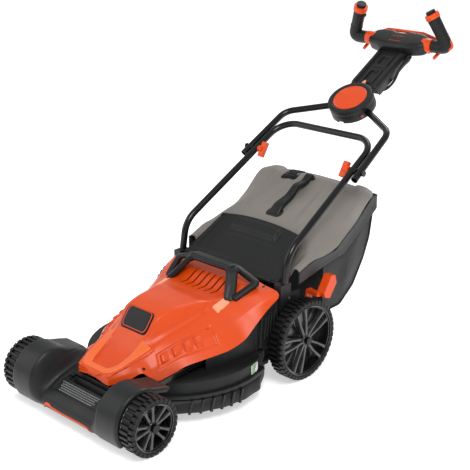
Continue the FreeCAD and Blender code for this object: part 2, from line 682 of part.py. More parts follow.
def rear_flap():
    plate, rib = flap_plate()
    barrel = []
    for x0, x1 in ((-150, -60), (60, 150)):
        barrel.append(rod_x(x0, x1, 0, FLAP_BARREL_R - FLAP_THICKNESS, FLAP_BARREL_R))
    flap = fuse([plate, rib] + barrel)
    hinge = (0, FLAP_BARREL_R - FLAP_THICKNESS)
    flap = flap.cut(rod_x(-56, 56, *hinge, FLAP_BARREL_R + 2))
    flap = flap.cut(rod_x(-FLAP_HALF - 5, FLAP_HALF + 5, *hinge, FLAP_PIN_R + BORE_CLEARANCE))
    flap.translate(V(0, 0, FLAP_THICKNESS - FLAP_BARREL_R))
    flap.rotate(V(0, 0, 0), X_AXIS, degrees(FLAP_SLOPE))
    flap.translate(V(0, FLAP_HINGE_Y, FLAP_HINGE_Z))
    return flap


def flap_springs():
    """Closing springs, drawn as the sleeves that their coils fill."""
    coil = rod_x(18, 50, FLAP_HINGE_Y, FLAP_HINGE_Z, FLAP_PIN_R + 2.4)
    coil = coil.cut(rod_x(10, 60, FLAP_HINGE_Y, FLAP_HINGE_Z, FLAP_PIN_R + 0.6))
    return coil, mirrored(coil)


def flap_pin():
    return rod_x(-FLAP_PIN_END, FLAP_PIN_END, FLAP_HINGE_Y, FLAP_HINGE_Z, FLAP_PIN_R)


# ================================================================ handle
def handle_brackets():
    right = block(*BRACKET_X, *BRACKET_Y, *BRACKET_Z)
    lug = block(REAR_BODY_X + 0.2, BRACKET_X[1], BRACKET_Y[0], BRACKET_Y[1] - 10, 188, BRACKET_Z[0] + 1)
    right = fuse([right, lug])
    leg = bent_bar([LOWER_FOOT, LOWER_BEND, LOWER_CORNER], [LOWER_BEND_R], TUBE_R)
    right = right.cut(leg)
    right = right.cut(rod_x(0, FLAP_PIN_END + 0.3, FLAP_HINGE_Y, FLAP_HINGE_Z, FLAP_PIN_R))
    right = right.cut(rod_x(BRACKET_X[1] - 10, BRACKET_X[1] + 5, *BRACKET_SCREW, SCREW_R))
    return right, mirrored(right)


def lower_handle():
    right = [LOWER_CORNER, LOWER_BEND, LOWER_FOOT]
    left = [V(-p.x, p.y, p.z) for p in reversed(right)]
    radii = [LOWER_BEND_R, LOWER_CORNER_R, LOWER_CORNER_R, LOWER_BEND_R]
    tube = bent_tube(left + right, radii, TUBE_R, TUBE_WALL)
    return tube.cut(rod_x(-300, 300, FOLD_Y, FOLD_Z, BOLT_R))


def fold_bolts():
    shank = rod_x(FOLD_LOWER_X - 26, UPPER_X + TUBE_R + 2, FOLD_Y, FOLD_Z, BOLT_R)
    head = rod_x(UPPER_X + TUBE_R + 1.2, UPPER_X + TUBE_R + 6, FOLD_Y, FOLD_Z, 8)
    washer = rod_x(FOLD_LOWER_X + TUBE_R + 0.8, UPPER_X - TUBE_R - 1.0, FOLD_Y, FOLD_Z, 9)
    bolt = fuse([shank, head, washer])
    return bolt, mirrored(bolt)


def wing_nut():
    x1 = FOLD_LOWER_X - TUBE_R - 0.8
    x0 = x1 - 24
    boss = rod_x(x0 + 8, x1, FOLD_Y, FOLD_Z, 10)
    wing = block(x0, x1 - 7, -22, 22, -6, 6)
    wing.rotate(V(0, 0, 0), X_AXIS, 58)
    wing.translate(V(0, FOLD_Y, FOLD_Z))
    nut = fuse([boss, wing])
    return nut.cut(rod_x(x0 + 5, x1 + 5, FOLD_Y, FOLD_Z, BOLT_R + BORE_CLEARANCE))


def upper_side():
    """Right-hand upper tube, from its tail past the fold bolt to the hub."""
    direction = V(UPPER_BEND.x - UPPER_X, UPPER_BEND.y - FOLD_Y, UPPER_BEND.z - FOLD_Z).normalize()
    tail = V(UPPER_X, FOLD_Y, FOLD_Z) - direction * UPPER_TAIL
    return [tail, UPPER_BEND, on_handle(SPIGOT_R + TUBE_R + 8.5, -6, HUB_BASE + TUBE_R + 0.8)]


def upper_tubes():
    tube = bent_tube(upper_side(), [UPPER_BEND_R], TUBE_R, TUBE_WALL)
    tube = tube.cut(rod_x(0, 300, FOLD_Y, FOLD_Z, BOLT_R + BORE_CLEARANCE))
    return tube, mirrored(tube)


def hub_housing():
    drum = rod_z(0, 0, HUB_BASE, 0, HUB_R_OUT)
    drum = drum.cut(rod_z(0, 0, -6, 5, SPIGOT_R))
    drum = drum.cut(block(-9, 9, -HUB_R_OUT - 2, -HUB_R_OUT + 5, HUB_BASE - 2, HUB_BASE + 6))
    drum = to_handle(drum)
    for mirror in (False, True):
        tube = bent_bar(upper_side(), [UPPER_BEND_R], TUBE_R)
        drum = drum.cut(mirrored(tube) if mirror else tube)
    direction = button_direction()
    mouth = HUB_CENTRE + direction * (HUB_R_OUT - 9) + hub_axis() * (HUB_BASE / 2)
    return drum.cut(Part.makeCylinder(5 + BORE_CLEARANCE, 40, mouth, direction))


def hub_axis():
    return V(0, -sin(HANDLE_SLOPE), cos(HANDLE_SLOPE))


def button_direction():
    """Side of the hub where the swivel release button sits."""
    angle = radians(-32)
    return X_AXIS * cos(angle) + V(0, cos(HANDLE_SLOPE), sin(HANDLE_SLOPE)) * sin(angle)


def swivel_button():
    direction = button_direction()
    start = HUB_CENTRE + direction * (HUB_R_OUT - 4.5) + hub_axis() * (HUB_BASE / 2)
    return Part.makeCylinder(5, 7.5, start, direction)


def stem_shell():
    ring = rod_z(0, 0, HUB_SPLIT, HUB_TOP, HUB_R_OUT)
    spigot = rod_z(0, 0, -5.6, HUB_SPLIT + 1, SPIGOT_R - BORE_CLEARANCE)
    neck = block(-STEM_HALF, STEM_HALF, 0, STEM_LENGTH, HUB_SPLIT, STEM_TOP)
    beam = block(-STEM_HALF, STEM_HALF, HUB_R_OUT + 4, STEM_LENGTH, STEM_BOTTOM, STEM_TOP)
    hollow = block(-STEM_HALF + WALL, STEM_HALF - WALL, HUB_R_OUT + 4 + WALL, STEM_LENGTH - WALL,
                   STEM_BOTTOM + WALL, STEM_TOP - WALL)
    stem = fuse([ring, spigot, neck, beam.cut(hollow)])
    stem = stem.cut(rod_z(0, 0, HUB_TOP - DISC_HEIGHT + 0.5, HUB_TOP + 5, DISC_R + 0.2))
    return fuse([to_handle(stem)] + plug_clip())


def hub_disc():
    return to_handle(rod_z(0, 0, HUB_TOP - DISC_HEIGHT + 0.6, HUB_TOP + 1.5, DISC_R))


def switch_box():
    front = HEAD_FRONT + 0.2
    outline = [(-STEM_HALF - 4, front), (STEM_HALF + 4, front), (HEAD_HALF, front + 16),
               (HEAD_HALF, HEAD_REAR), (-HEAD_HALF, HEAD_REAR), (-HEAD_HALF, front + 16)]
    box = prism_z(outline, HEAD_BOTTOM, HEAD_TOP)
    box = box.cut(block(-40, 40, HEAD_REAR - 8, HEAD_REAR + 5, HEAD_TOP - 8, HEAD_TOP + 5))
    box = box.cut(block(-STEM_HALF - 0.3, STEM_HALF + 0.3, front - 5, STEM_LENGTH + 0.3,
                        STEM_BOTTOM - 5, STEM_TOP + 0.3))
    ears = []
    for x0, x1 in ((HEAD_HALF - 14, HEAD_HALF - 2), (-HEAD_HALF + 2, -HEAD_HALF + 14)):
        ears.append(block(x0, x1, BAIL_PIVOT[0] - 7, BAIL_PIVOT[0] + 7, BAIL_PIVOT[1] - 6, HEAD_BOTTOM + 1))
    pins = rod_x(-HEAD_HALF - 7, HEAD_HALF + 7, *BAIL_PIVOT, BAIL_PIN_R)
    inner = block(-HEAD_HALF + 14, HEAD_HALF - 14, front + 12, HEAD_REAR - 12, -6, HEAD_TOP - WALL)
    return to_handle(fuse([box.cut(inner)] + ears + [pins]))


def grip_path(start_u, end_share):
    """Right-hand grip line in handle coordinates, from start_u to a share of the upright."""
    corner = V(GRIP_CORNER_U, GRIP_AXIS_V, GRIP_AXIS_W)
    top = V(*GRIP_TOP)
    end = corner + (top - corner) * end_share
    return [V(start_u, GRIP_AXIS_V, GRIP_AXIS_W), corner, end]


def grip_upright():
    corner, top = grip_path(0, 1)[1:]
    direction = top - corner
    return corner, direction.Length, direction.normalize()


def on_upright(start, length, r):
    corner, total, direction = grip_upright()
    return Part.makeCylinder(r, length, corner + direction * start, direction)


def hand_grip():
    total = grip_upright()[1]
    share = (total - RING_LENGTH - CAP_LENGTH) / total
    return to_handle(bent_bar(grip_path(COLLAR_END + 0.1, share), [GRIP_BEND], GRIP_R))


def grip_collar():
    return to_handle(rod_x(HEAD_HALF + 0.1, COLLAR_END, GRIP_AXIS_V, GRIP_AXIS_W, COLLAR_R))


def grip_ring():
    total = grip_upright()[1]
    return to_handle(on_upright(total - RING_LENGTH - CAP_LENGTH + 0.1, RING_LENGTH - 0.2, RING_R))


def grip_cap():
    total = grip_upright()[1]
    return to_handle(on_upright(total - CAP_LENGTH, CAP_LENGTH, CAP_R))


def start_button():
    """Thumb button on the inner side of a grip, just under the ring."""
    corner, total, direction = grip_upright()
    centre = corner + direction * (total - RING_LENGTH - CAP_LENGTH - BUTTON_DROP)
    base = centre + V(-(GRIP_R - 1), 0, 0)
    return to_handle(Part.makeCylinder(BUTTON_R, 6, base, V(-1, 0, 0)))


def button_pocket():
    corner, total, direction = grip_upright()
    centre = corner + direction * (total - RING_LENGTH - CAP_LENGTH - BUTTON_DROP)
    base = centre + V(-(GRIP_R - 2 - BUTTON_TRAVEL - 3), 0, 0)
    return to_handle(Part.makeCylinder(BUTTON_R + BORE_CLEARANCE, 30, base, V(-1, 0, 0)))


def bail_lever():
    """Switch bail: bar behind the switch box and a finger loop under each elbow."""
    loop = [V(126, 244, -14), V(128, 286, -15.5), V(104, 305, 4), V(62, 305, 20)]
    left = [V(-p.x, p.y, p.z) for p in loop]
    bar = bent_bar(loop + left[::-1], [11, 14, 16, 16, 14, 11], BAIL_R)
    parts = [bar]
    for sign in (-1, 1):
        x0 = HEAD_HALF + 1
        ear = prism_x([(BAIL_PIVOT[0] - 7, BAIL_PIVOT[1] - 6), (BAIL_PIVOT[0] + 8, BAIL_PIVOT[1] - 6),
                       (303, -2), (308, 8), (300, 12), (BAIL_PIVOT[0] - 7, BAIL_PIVOT[1] + 6)],
                      x0, x0 + 5)
        foot = block(x0 + 1, 130, BAIL_PIVOT[0] + 2, BAIL_PIVOT[0] + 8, BAIL_PIVOT[1] - 2, BAIL_PIVOT[1] + 6)
        if sign < 0:
            ear = mirrored(ear)
            foot = mirrored(foot)
        parts += [ear, foot]
    bail = fuse(parts)
    return to_handle(bail.cut(rod_x(-200, 200, *BAIL_PIVOT, BAIL_PIN_R + BORE_CLEARANCE)))


# ================================================================ lead
def lead():
    radii = cord_radii(LEAD_ROUTE)
    edges = path_edges(LEAD_ROUTE, radii)
    wire = Part.Wire(edges)
    circle = Part.Wire(Part.makeCircle(LEAD_R, LEAD_ROUTE[0], LEAD_ROUTE[1] - LEAD_ROUTE[0]))
    tube = wire.makePipeShell([circle], True, True)
    length = sum(e.Length for e in edges)
    print("lead radii", [round(r, 1) for r in radii], "length", round(length, 1),
          "volume ratio", round(tube.Volume / (pi * LEAD_R ** 2 * length), 4))
    return tube


def cord_relief():
    """Tapered sleeve from the switch box's lower corner."""
    end = LEAD_ROUTE[0]
    direction = on_handle(0, 1, 0) - on_handle(0, 0, 0)
    cone = Part.makeCone(LEAD_R + 0.8, LEAD_R + 3.4, 26, end, direction)
    socket = Part.makeCylinder(LEAD_R + 4, HEAD_FRONT - RELIEF_V - 24, end + direction * 24, direction)
    return fuse([cone, socket])


def plug():
    end, direction = plug_line()
    boot = Part.makeCone(LEAD_R + 1.2, LEAD_R + 4.5, 16, end, direction)
    body = Part.makeCylinder(PLUG_R, PLUG_LENGTH - 16, end + direction * 15.5, direction)
    return fuse([boot, body])


def plug_line():
    """Point and direction where the lead runs into its plug."""
    end = LEAD_ROUTE[-1]
    return end, (end - LEAD_ROUTE[-2]).normalize()


def plug_clip():
    """Clip under the stem that parks the plug: two jaws hanging from a pad."""
    end, direction = plug_line()
    middle = end + direction * (PLUG_LENGTH - 18)
    ring = Part.makeCylinder(PLUG_R + 3, 12, middle, direction)
    ring = ring.cut(Part.makeCylinder(PLUG_R + 0.4, 30, middle - direction * 5, direction))
    local = middle - HUB_CENTRE
    along = local.y * cos(HANDLE_SLOPE) + local.z * sin(HANDLE_SLOPE)
    depth = -local.y * sin(HANDLE_SLOPE) + local.z * cos(HANDLE_SLOPE)
    keep = to_handle(block(local.x - 40, local.x + 30, along - 40, along + 60, depth - 6, STEM_BOTTOM + 1))
    web = to_handle(block(local.x - 12, local.x + 6, along + 2, along + 14, depth + PLUG_R + 2,
                          STEM_BOTTOM + 1))
    return [ring.common(keep), web.cut(Part.makeCylinder(PLUG_R + 0.4, 60, middle - direction * 20, direction))]


# ================================================================ grass bag
BAG_SIDE = [(BAG_FRONT, 134), (728, 136), (784, 178), (826, 244), (850, 300), (866, 396),
            (722, 287), (668, 280), (BAG_FRONT, 277)]
RIM_LOW = [(540, 252.5), (668, 280.5), (722, 287.5), (868, 400)]
RIM_HIGH = [(868, 420), (840, 418), (773, 364), (688, 308), (641, 301), (599, 302), (540, 284)]

# Lid stations from front to rear: y, edge (x, z), ridge (x, z), top (x, z).
LID = [
    (542, (202, 286), (180, 290), (168, 262)),
    (600, (203, 304), (186, 316), (168, 312)),
    (622, (203, 303), (186, 322), (152, 331)),
    (642, (203, 304), (184, 330), (148, 350)),
    (700, (203, 319), (176, 350), (142, 371)),
    (766, (203, 361), (166, 386), (136, 394)),
    (840, (202, 420), (152, 432), (130, 425)),
    (872, (160, 424), (136, 436), (124, 432)),
]


def bag_fabric():
    outer = prism_x(BAG_SIDE, -BAG_HALF, BAG_HALF)
    face = Part.Face(Part.makePolygon([V(0, y, z) for y, z in BAG_SIDE + [BAG_SIDE[0]]]))
    inner = face.makeOffset2D(-WALL)
    inner = inner.extrude(V(2 * (BAG_HALF - WALL), 0, 0))
    inner.translate(V(-BAG_HALF + WALL, 0, 0))
    mouth = block(-BAG_HALF + WALL, BAG_HALF - WALL, BAG_FRONT - 5, BAG_FRONT + 8, 137, 290)
    lift = []
    for step in (0, 12, 24):
        piece = inner.copy()
        piece.translate(V(0, 0, step))
        lift.append(piece)
    return outer.cut(fuse(lift)).cut(mouth)


def bag_rim():
    outer = prism_x(RIM_LOW + RIM_HIGH, -BAG_RIM_HALF, BAG_RIM_HALF)
    inner = prism_x([(530, 200), (860, 200), (860, 440), (530, 440)], -BAG_RIM_HALF + 6, BAG_RIM_HALF - 6)
    return outer.cut(inner)


def bag_lid():
    sections = []
    for y, edge, ridge, top in LID:
        outer = both_sides([edge, ridge, top])
        inner = both_sides([(edge[0] - WALL, edge[1]), (ridge[0] - 1, ridge[1] - WALL),
                            (top[0] - 0.5, top[1] - WALL)])
        sections.append(section(y, outer + list(reversed(inner))))
    lid = ruled(sections)
    y, edge, ridge, top = LID[-1]
    tail = Part.Face(section(y, both_sides([edge, ridge, top]))).extrude(V(0, WALL, 0))
    back = block(-edge[0], edge[0], y, y + WALL, 400, edge[1])
    return fuse([lid, tail, back])


def lid_height(y):
    """Height of the lid's top plane at y."""
    for (y0, _, _, top0), (y1, _, _, top1) in zip(LID, LID[1:]):
        if y0 <= y <= y1:
            return top0[1] + (top1[1] - top0[1]) * (y - y0) / (y1 - y0)
    return LID[-1][3][1]


def bag_handle():
    front, rear = 668, 806
    rise = 34
    points = [V(0, front, lid_height(front) + 1.5), V(0, front + 38, lid_height(front) + rise + 16),
              V(0, rear - 18, lid_height(rear) + rise - 6), V(0, rear, lid_height(rear) + 1.5)]
    return bent_bar(points, [24, 24], 9).cut(lid_room())


def lid_room():
    rows = []
    for y, edge, ridge, top in LID[2:]:
        rows.append(section(y, [(-top[0], 200), (top[0], 200), (top[0], top[1] + 0.2), (-top[0], top[1] + 0.2)]))
    return ruled(rows)


def bag_window():
    y0, y1 = 842, 866
    z0, z1 = lid_height(y0), lid_height(y1)
    plate = prism_x([(y0, z0 + 0.3), (y1, z1 + 0.3), (y1, z1 + 3.3), (y0, z0 + 3.3)], -78, -22)
    return plate


# ================================================================ fasteners
def case_screws():
    screws = []
    screw = rod_x(BRACKET_X[1] - 10, BRACKET_X[1] + 1.0, *BRACKET_SCREW, SCREW_R)
    screws += [screw, mirrored(screw)]
    return screws


# ================================================================ build
def build():
    os.makedirs("parts", exist_ok=True)
    write("deck_shell", deck_shell())
    write("rear_chute", rear_chute())
    write("edge_combs", *edge_combs())
    write("front_cowl", front_cowl())
    write("cowl_trim", cowl_trim())
    write("motor_hood", motor_hood())
    write("hood_badge", hood_badge())
    write("carry_handle", carry_handle())
    write("height_scale", height_scale())
    write("motor_can", motor_can())
    write("motor_shaft", motor_shaft())
    write("cooling_fan", cooling_fan())
    write("blade_carrier", blade_carrier())
    write("blade", blade())
    write("blade_bolt", blade_bolt())
    for axle, radius, y in (("front", FRONT_R, 0), ("rear", REAR_R, WHEELBASE)):
        for side, sign in (("left", -1), ("right", 1)):
            tyre, rim = wheel_parts(radius, y, sign)
            write(f"{axle}_{side}_tyre", tyre)
            write(f"{axle}_{side}_rim", rim)
        write(f"{axle}_wheel_caps", *wheel_caps(radius, y))
    write("front_axle_crank", axle_crank(FRONT_PIVOT))
    write("rear_axle_crank", axle_crank(REAR_PIVOT))
    write("height_link", height_link())
    write("height_lever", height_lever())
    write("axle_clamps", *axle_clamps())
    write("rear_flap", rear_flap(), behind=REAR_SHIFT)
    write("flap_pin", flap_pin(), behind=REAR_SHIFT)
    write("flap_springs", *flap_springs(), behind=REAR_SHIFT)
    write("handle_brackets", *handle_brackets(), behind=REAR_SHIFT)
    write("lower_handle", lower_handle(), behind=REAR_SHIFT)
    write("fold_bolts", *fold_bolts(), behind=REAR_SHIFT)
    write("right_wing_nut", wing_nut(), behind=REAR_SHIFT)
    write("left_wing_nut", mirrored(wing_nut()), behind=REAR_SHIFT)
    write("upper_tubes", *upper_tubes(), behind=REAR_SHIFT)
    write("hub_housing", hub_housing(), behind=REAR_SHIFT)
    write("swivel_button", swivel_button(), behind=REAR_SHIFT)
    write("stem_shell", stem_shell(), behind=REAR_SHIFT)
    write("hub_disc", hub_disc(), behind=REAR_SHIFT)
    write("switch_box", switch_box(), behind=REAR_SHIFT)
    write("grip_collars", grip_collar(), mirrored(grip_collar()), behind=REAR_SHIFT)
    grip = hand_grip().cut(button_pocket())
    write("hand_grips", grip, mirrored(grip), behind=REAR_SHIFT)
    write("grip_rings", grip_ring(), mirrored(grip_ring()), behind=REAR_SHIFT)
    write("grip_caps", grip_cap(), mirrored(grip_cap()), behind=REAR_SHIFT)
    write("right_start_button", start_button(), behind=REAR_SHIFT)
    write("left_start_button", mirrored(start_button()), behind=REAR_SHIFT)
    write("bail_lever", bail_lever(), behind=REAR_SHIFT)
    write("cord_relief", cord_relief(), behind=REAR_SHIFT)
    write("lead", lead(), behind=REAR_SHIFT)
    write("plug", plug(), behind=REAR_SHIFT)
    write("bag_fabric", bag_fabric(), behind=REAR_SHIFT)
    write("bag_rim", bag_rim(), behind=REAR_SHIFT)
    write("bag_lid", bag_lid(), behind=REAR_SHIFT)
    write("bag_handle", bag_handle(), behind=REAR_SHIFT)
    write("bag_window", bag_window(), behind=REAR_SHIFT)
    write("case_screws", *case_screws(), behind=REAR_SHIFT)


build()
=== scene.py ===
"""Looks of a walk-behind electric rotary lawn mower, built round its fixed frame.

Each sub-assembly is a class with its sizes in millimetres, measured from the front
axle: X across the machine, Y rearwards and Z up from the ground.
"""

import json
import logging
import math
from collections.abc import Callable, Sequence
from dataclasses import dataclass, field
from enum import Enum
from typing import Any

import bmesh
import bpy
import numpy as np
from mathutils import Matrix, Vector

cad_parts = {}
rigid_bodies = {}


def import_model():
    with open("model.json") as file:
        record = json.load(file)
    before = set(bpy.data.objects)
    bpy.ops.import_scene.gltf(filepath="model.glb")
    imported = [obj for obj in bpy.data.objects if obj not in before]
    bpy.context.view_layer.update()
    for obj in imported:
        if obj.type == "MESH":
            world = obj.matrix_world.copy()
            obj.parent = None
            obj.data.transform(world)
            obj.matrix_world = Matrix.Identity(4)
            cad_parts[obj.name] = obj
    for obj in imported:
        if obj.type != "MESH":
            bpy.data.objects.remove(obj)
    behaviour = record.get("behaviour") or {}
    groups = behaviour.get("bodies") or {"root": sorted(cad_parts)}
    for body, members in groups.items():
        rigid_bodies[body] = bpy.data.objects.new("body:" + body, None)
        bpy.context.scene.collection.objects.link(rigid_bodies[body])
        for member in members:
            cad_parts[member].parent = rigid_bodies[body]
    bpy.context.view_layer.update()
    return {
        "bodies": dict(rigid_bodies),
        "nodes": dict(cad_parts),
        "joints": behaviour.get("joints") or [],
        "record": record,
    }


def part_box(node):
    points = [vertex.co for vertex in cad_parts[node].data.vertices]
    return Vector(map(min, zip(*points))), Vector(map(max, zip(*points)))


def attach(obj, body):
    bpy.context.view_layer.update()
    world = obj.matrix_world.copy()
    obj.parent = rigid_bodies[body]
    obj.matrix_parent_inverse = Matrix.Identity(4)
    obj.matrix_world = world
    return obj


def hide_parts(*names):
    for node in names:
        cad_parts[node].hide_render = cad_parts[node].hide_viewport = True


LOG = logging.getLogger("mower")
MM = 0.001
HANDLE_SLOPE = math.radians(30.7)
HUB_CENTRE = (0.0, 999.0, 624.5)


# ---------------------------------------------------------------- colour and nodes
def linear(hex_colour: str) -> tuple[float, float, float, float]:
    """Turn an sRGB hex colour into linear values.

    Args:
        hex_colour: six digits after a hash, such as "#E2582A".

    Returns:
        Red, green, blue and alpha, linear.
    """
    parts = [int(hex_colour[i:i + 2], 16) / 255 for i in (1, 3, 5)]
    lit = [c / 12.92 if c <= 0.04045 else ((c + 0.055) / 1.055) ** 2.4 for c in parts]
    return (lit[0], lit[1], lit[2], 1.0)


def per_metre(size_mm: float) -> float:
    """Texture scale that repeats once in size_mm."""
    return 1.0 / (size_mm * MM)


def add_node(material: bpy.types.Material, kind: str, settings: dict | None = None,
             links: dict | None = None) -> bpy.types.Node:
    """Add one shader node with its settings and links.

    Args:
        material: the material it goes into.
        kind: Blender's node type.
        settings: attribute or input name, or input number, to its value.
        links: input name or number to the (node, output) that feeds it.

    Returns:
        The new node.
    """
    made = material.node_tree.nodes.new(kind)
    for name, value in (settings or {}).items():
        if isinstance(name, int) or name in made.inputs:
            made.inputs[name].default_value = value
        else:
            setattr(made, name, value)
    for name, (source, output) in (links or {}).items():
        material.node_tree.links.new(source.outputs[output], made.inputs[name])
    return made


def empty_material(name: str) -> bpy.types.Material:
    """New material with no nodes in it.

    Args:
        name: the material's name.

    Returns:
        The empty material.
    """
    made = bpy.data.materials.new(name)
    made.use_nodes = True
    made.node_tree.nodes.clear()
    return made


# ---------------------------------------------------------------- finishes
@dataclass(frozen=True)
class MouldedPlastic:
    """Injection-moulded thermoplastic with the grain of its tool.

    A polished tool leaves a faint ripple and sharp reflections; a spark-eroded
    tool leaves a fine pebble that spreads the highlight.
    """

    name: str
    colour: str
    shade: str
    roughness: float
    grain_mm: float
    grain_depth_mm: float
    ripple_mm: float = 60.0
    coat: float = 0.0
    ior: float = 1.5
    edge: str | None = None

    def build(self) -> bpy.types.Material:
        """Build the material.

        Returns:
            The material.
        """
        mat = empty_material(self.name)
        place = add_node(mat, "ShaderNodeTexCoord")
        drift = add_node(mat, "ShaderNodeTexNoise", {"Scale": per_metre(self.ripple_mm), "Detail": 3.0},
                         {"Vector": (place, "Object")})
        tone = add_node(mat, "ShaderNodeMix", {"data_type": "RGBA", 6: linear(self.colour),
                                               7: linear(self.shade)}, {0: (drift, "Fac")})
        colour = (tone, 2)
        if self.edge:
            # the sharp outer corners are drawn a little paler, by their pointiness
            shape = add_node(mat, "ShaderNodeNewGeometry")
            corner_share = add_node(mat, "ShaderNodeMapRange", {1: 0.52, 2: 0.62, 3: 0.0, 4: 0.35},
                            {0: (shape, "Pointiness")})
            paler_corners = add_node(mat, "ShaderNodeMix", {"data_type": "RGBA", 7: linear(self.edge)},
                              {0: (corner_share, 0), 6: colour})
            colour = (paler_corners, 2)
        grain = add_node(mat, "ShaderNodeTexNoise", {"Scale": per_metre(self.grain_mm), "Detail": 2.0},
                         {"Vector": (place, "Object")})
        bump = add_node(mat, "ShaderNodeBump", {"Strength": 0.6, "Distance": self.grain_depth_mm * MM},
                        {"Height": (grain, "Fac")})
        polish = add_node(mat, "ShaderNodeMapRange",
                          {1: 0.3, 2: 0.7, 3: self.roughness * 0.88, 4: self.roughness * 1.14},
                          {0: (drift, "Fac")})
        shader = add_node(mat, "ShaderNodeBsdfPrincipled",
                          {"IOR": self.ior, "Coat Weight": self.coat, "Coat Roughness": 0.12},
                          {"Base Color": colour, "Roughness": (polish, 0), "Normal": (bump, 0)})
        add_node(mat, "ShaderNodeOutputMaterial", {}, {"Surface": (shader, 0)})
        return mat


@dataclass(frozen=True)
class CoatedSteel:
    """Powder-coated steel tube or bar: a glossy skin with a slight orange peel."""

    name: str
    colour: str
    roughness: float = 0.22
    peel_mm: float = 2.4
    peel_depth_mm: float = 0.05

    def build(self) -> bpy.types.Material:
        """Build the material.

        Returns:
            The material.
        """
        mat = empty_material(self.name)
        place = add_node(mat, "ShaderNodeTexCoord")
        peel = add_node(mat, "ShaderNodeTexNoise", {"Scale": per_metre(self.peel_mm), "Detail": 1.0},
                        {"Vector": (place, "Object")})
        dust = add_node(mat, "ShaderNodeTexNoise", {"Scale": per_metre(45), "Detail": 4.0},
                        {"Vector": (place, "Object")})
        polish = add_node(mat, "ShaderNodeMapRange",
                          {1: 0.35, 2: 0.75, 3: self.roughness * 0.85, 4: self.roughness * 1.3},
                          {0: (dust, "Fac")})
        bump = add_node(mat, "ShaderNodeBump", {"Strength": 0.5, "Distance": self.peel_depth_mm * MM},
                        {"Height": (peel, "Fac")})
        shader = add_node(mat, "ShaderNodeBsdfPrincipled",
                          {"Base Color": linear(self.colour), "IOR": 1.38, "Coat Weight": 0.15,
                           "Coat Roughness": 0.1},
                          {"Roughness": (polish, 0), "Normal": (bump, 0)})
        add_node(mat, "ShaderNodeOutputMaterial", {}, {"Surface": (shader, 0)})
        return mat


@dataclass(frozen=True)
class BareMetal:
    """Machined, cast or plated metal: a soft grey mirror broken by fine lines or grit."""

    name: str
    colour: str
    roughness: float
    line_mm: float = 0.8
    stretch: tuple[float, float, float] = (1.0, 1.0, 0.08)

    def build(self) -> bpy.types.Material:
        """Build the material.

        Returns:
            The material.
        """
        mat = empty_material(self.name)
        place = add_node(mat, "ShaderNodeTexCoord")
        along = add_node(mat, "ShaderNodeMapping", {"Scale": self.stretch}, {"Vector": (place, "Object")})
        lines = add_node(mat, "ShaderNodeTexNoise", {"Scale": per_metre(self.line_mm), "Detail": 4.0},
                         {"Vector": (along, 0)})
        polish = add_node(mat, "ShaderNodeMapRange",
                          {1: 0.3, 2: 0.7, 3: self.roughness * 0.8, 4: self.roughness * 1.25},
                          {0: (lines, "Fac")})
        bump = add_node(mat, "ShaderNodeBump", {"Strength": 0.3, "Distance": 0.05 * MM},
                        {"Height": (lines, "Fac")})
        shader = add_node(mat, "ShaderNodeBsdfPrincipled",
                          {"Base Color": linear(self.colour), "Metallic": 1.0},
                          {"Roughness": (polish, 0), "Normal": (bump, 0)})
        add_node(mat, "ShaderNodeOutputMaterial", {}, {"Surface": (shader, 0)})
        return mat


@dataclass(frozen=True)
class WovenMesh:
    """Coarse woven polyester net of a grass bag: threads with small dark holes between."""

    name: str
    thread: str
    hole: str
    pitch_mm: float = 5.0       # the real net is finer, about 1.5 mm; drawn coarse enough to show
    depth_mm: float = 0.7

    def build(self) -> bpy.types.Material:
        """Build the material.

        Returns:
            The material.
        """
        mat = empty_material(self.name)
        place = add_node(mat, "ShaderNodeTexCoord")
        split = add_node(mat, "ShaderNodeSeparateXYZ", {}, {0: (place, "Object")})
        # the diagonal of length and height runs the threads at 45 degrees on every wall
        turn = 2 * math.pi * per_metre(self.pitch_mm)
        side = add_node(mat, "ShaderNodeMath", {"operation": "ADD"}, {0: (split, "X"), 1: (split, "Y")})
        waves = []
        for operation in ("ADD", "SUBTRACT"):
            mixed = add_node(mat, "ShaderNodeMath", {"operation": operation},
                             {0: (side, 0), 1: (split, "Z")})
            scaled = add_node(mat, "ShaderNodeMath", {"operation": "MULTIPLY", 1: turn}, {0: (mixed, 0)})
            waves.append(add_node(mat, "ShaderNodeMath", {"operation": "SINE"}, {0: (scaled, 0)}))
        weave = add_node(mat, "ShaderNodeMath", {"operation": "MULTIPLY"},
                         {0: (waves[0], 0), 1: (waves[1], 0)})
        height = add_node(mat, "ShaderNodeMapRange", {1: -0.5, 2: 0.9, 3: 0.0, 4: 1.0}, {0: (weave, 0)})
        tone = add_node(mat, "ShaderNodeMix", {"data_type": "RGBA", 6: linear(self.thread),
                                               7: linear(self.hole)}, {0: (height, 0)})
        bump = add_node(mat, "ShaderNodeBump", {"Strength": 0.7, "Distance": self.depth_mm * MM,
                                                "invert": True}, {"Height": (height, 0)})
        shader = add_node(mat, "ShaderNodeBsdfPrincipled",
                          {"Roughness": 0.75, "Sheen Weight": 0.15, "Sheen Roughness": 0.5},
                          {"Base Color": (tone, 2), "Normal": (bump, 0)})
        add_node(mat, "ShaderNodeOutputMaterial", {}, {"Surface": (shader, 0)})
        return mat


@dataclass(frozen=True)
class PlainFloor:
    """Pale seamless studio floor."""

    name: str = "studio_floor"
    colour: str = "#FAFAFA"
    glow: float = 0.5

    def build(self) -> bpy.types.Material:
        """Build the material.

        Returns:
            The material.
        """
        mat = empty_material(self.name)
        shader = add_node(mat, "ShaderNodeBsdfPrincipled",
                          {"Base Color": linear(self.colour), "Roughness": 0.9,
                           "Emission Color": (1, 1, 1, 1), "Emission Strength": self.glow})
        add_node(mat, "ShaderNodeOutputMaterial", {}, {"Surface": (shader, 0)})
        return mat


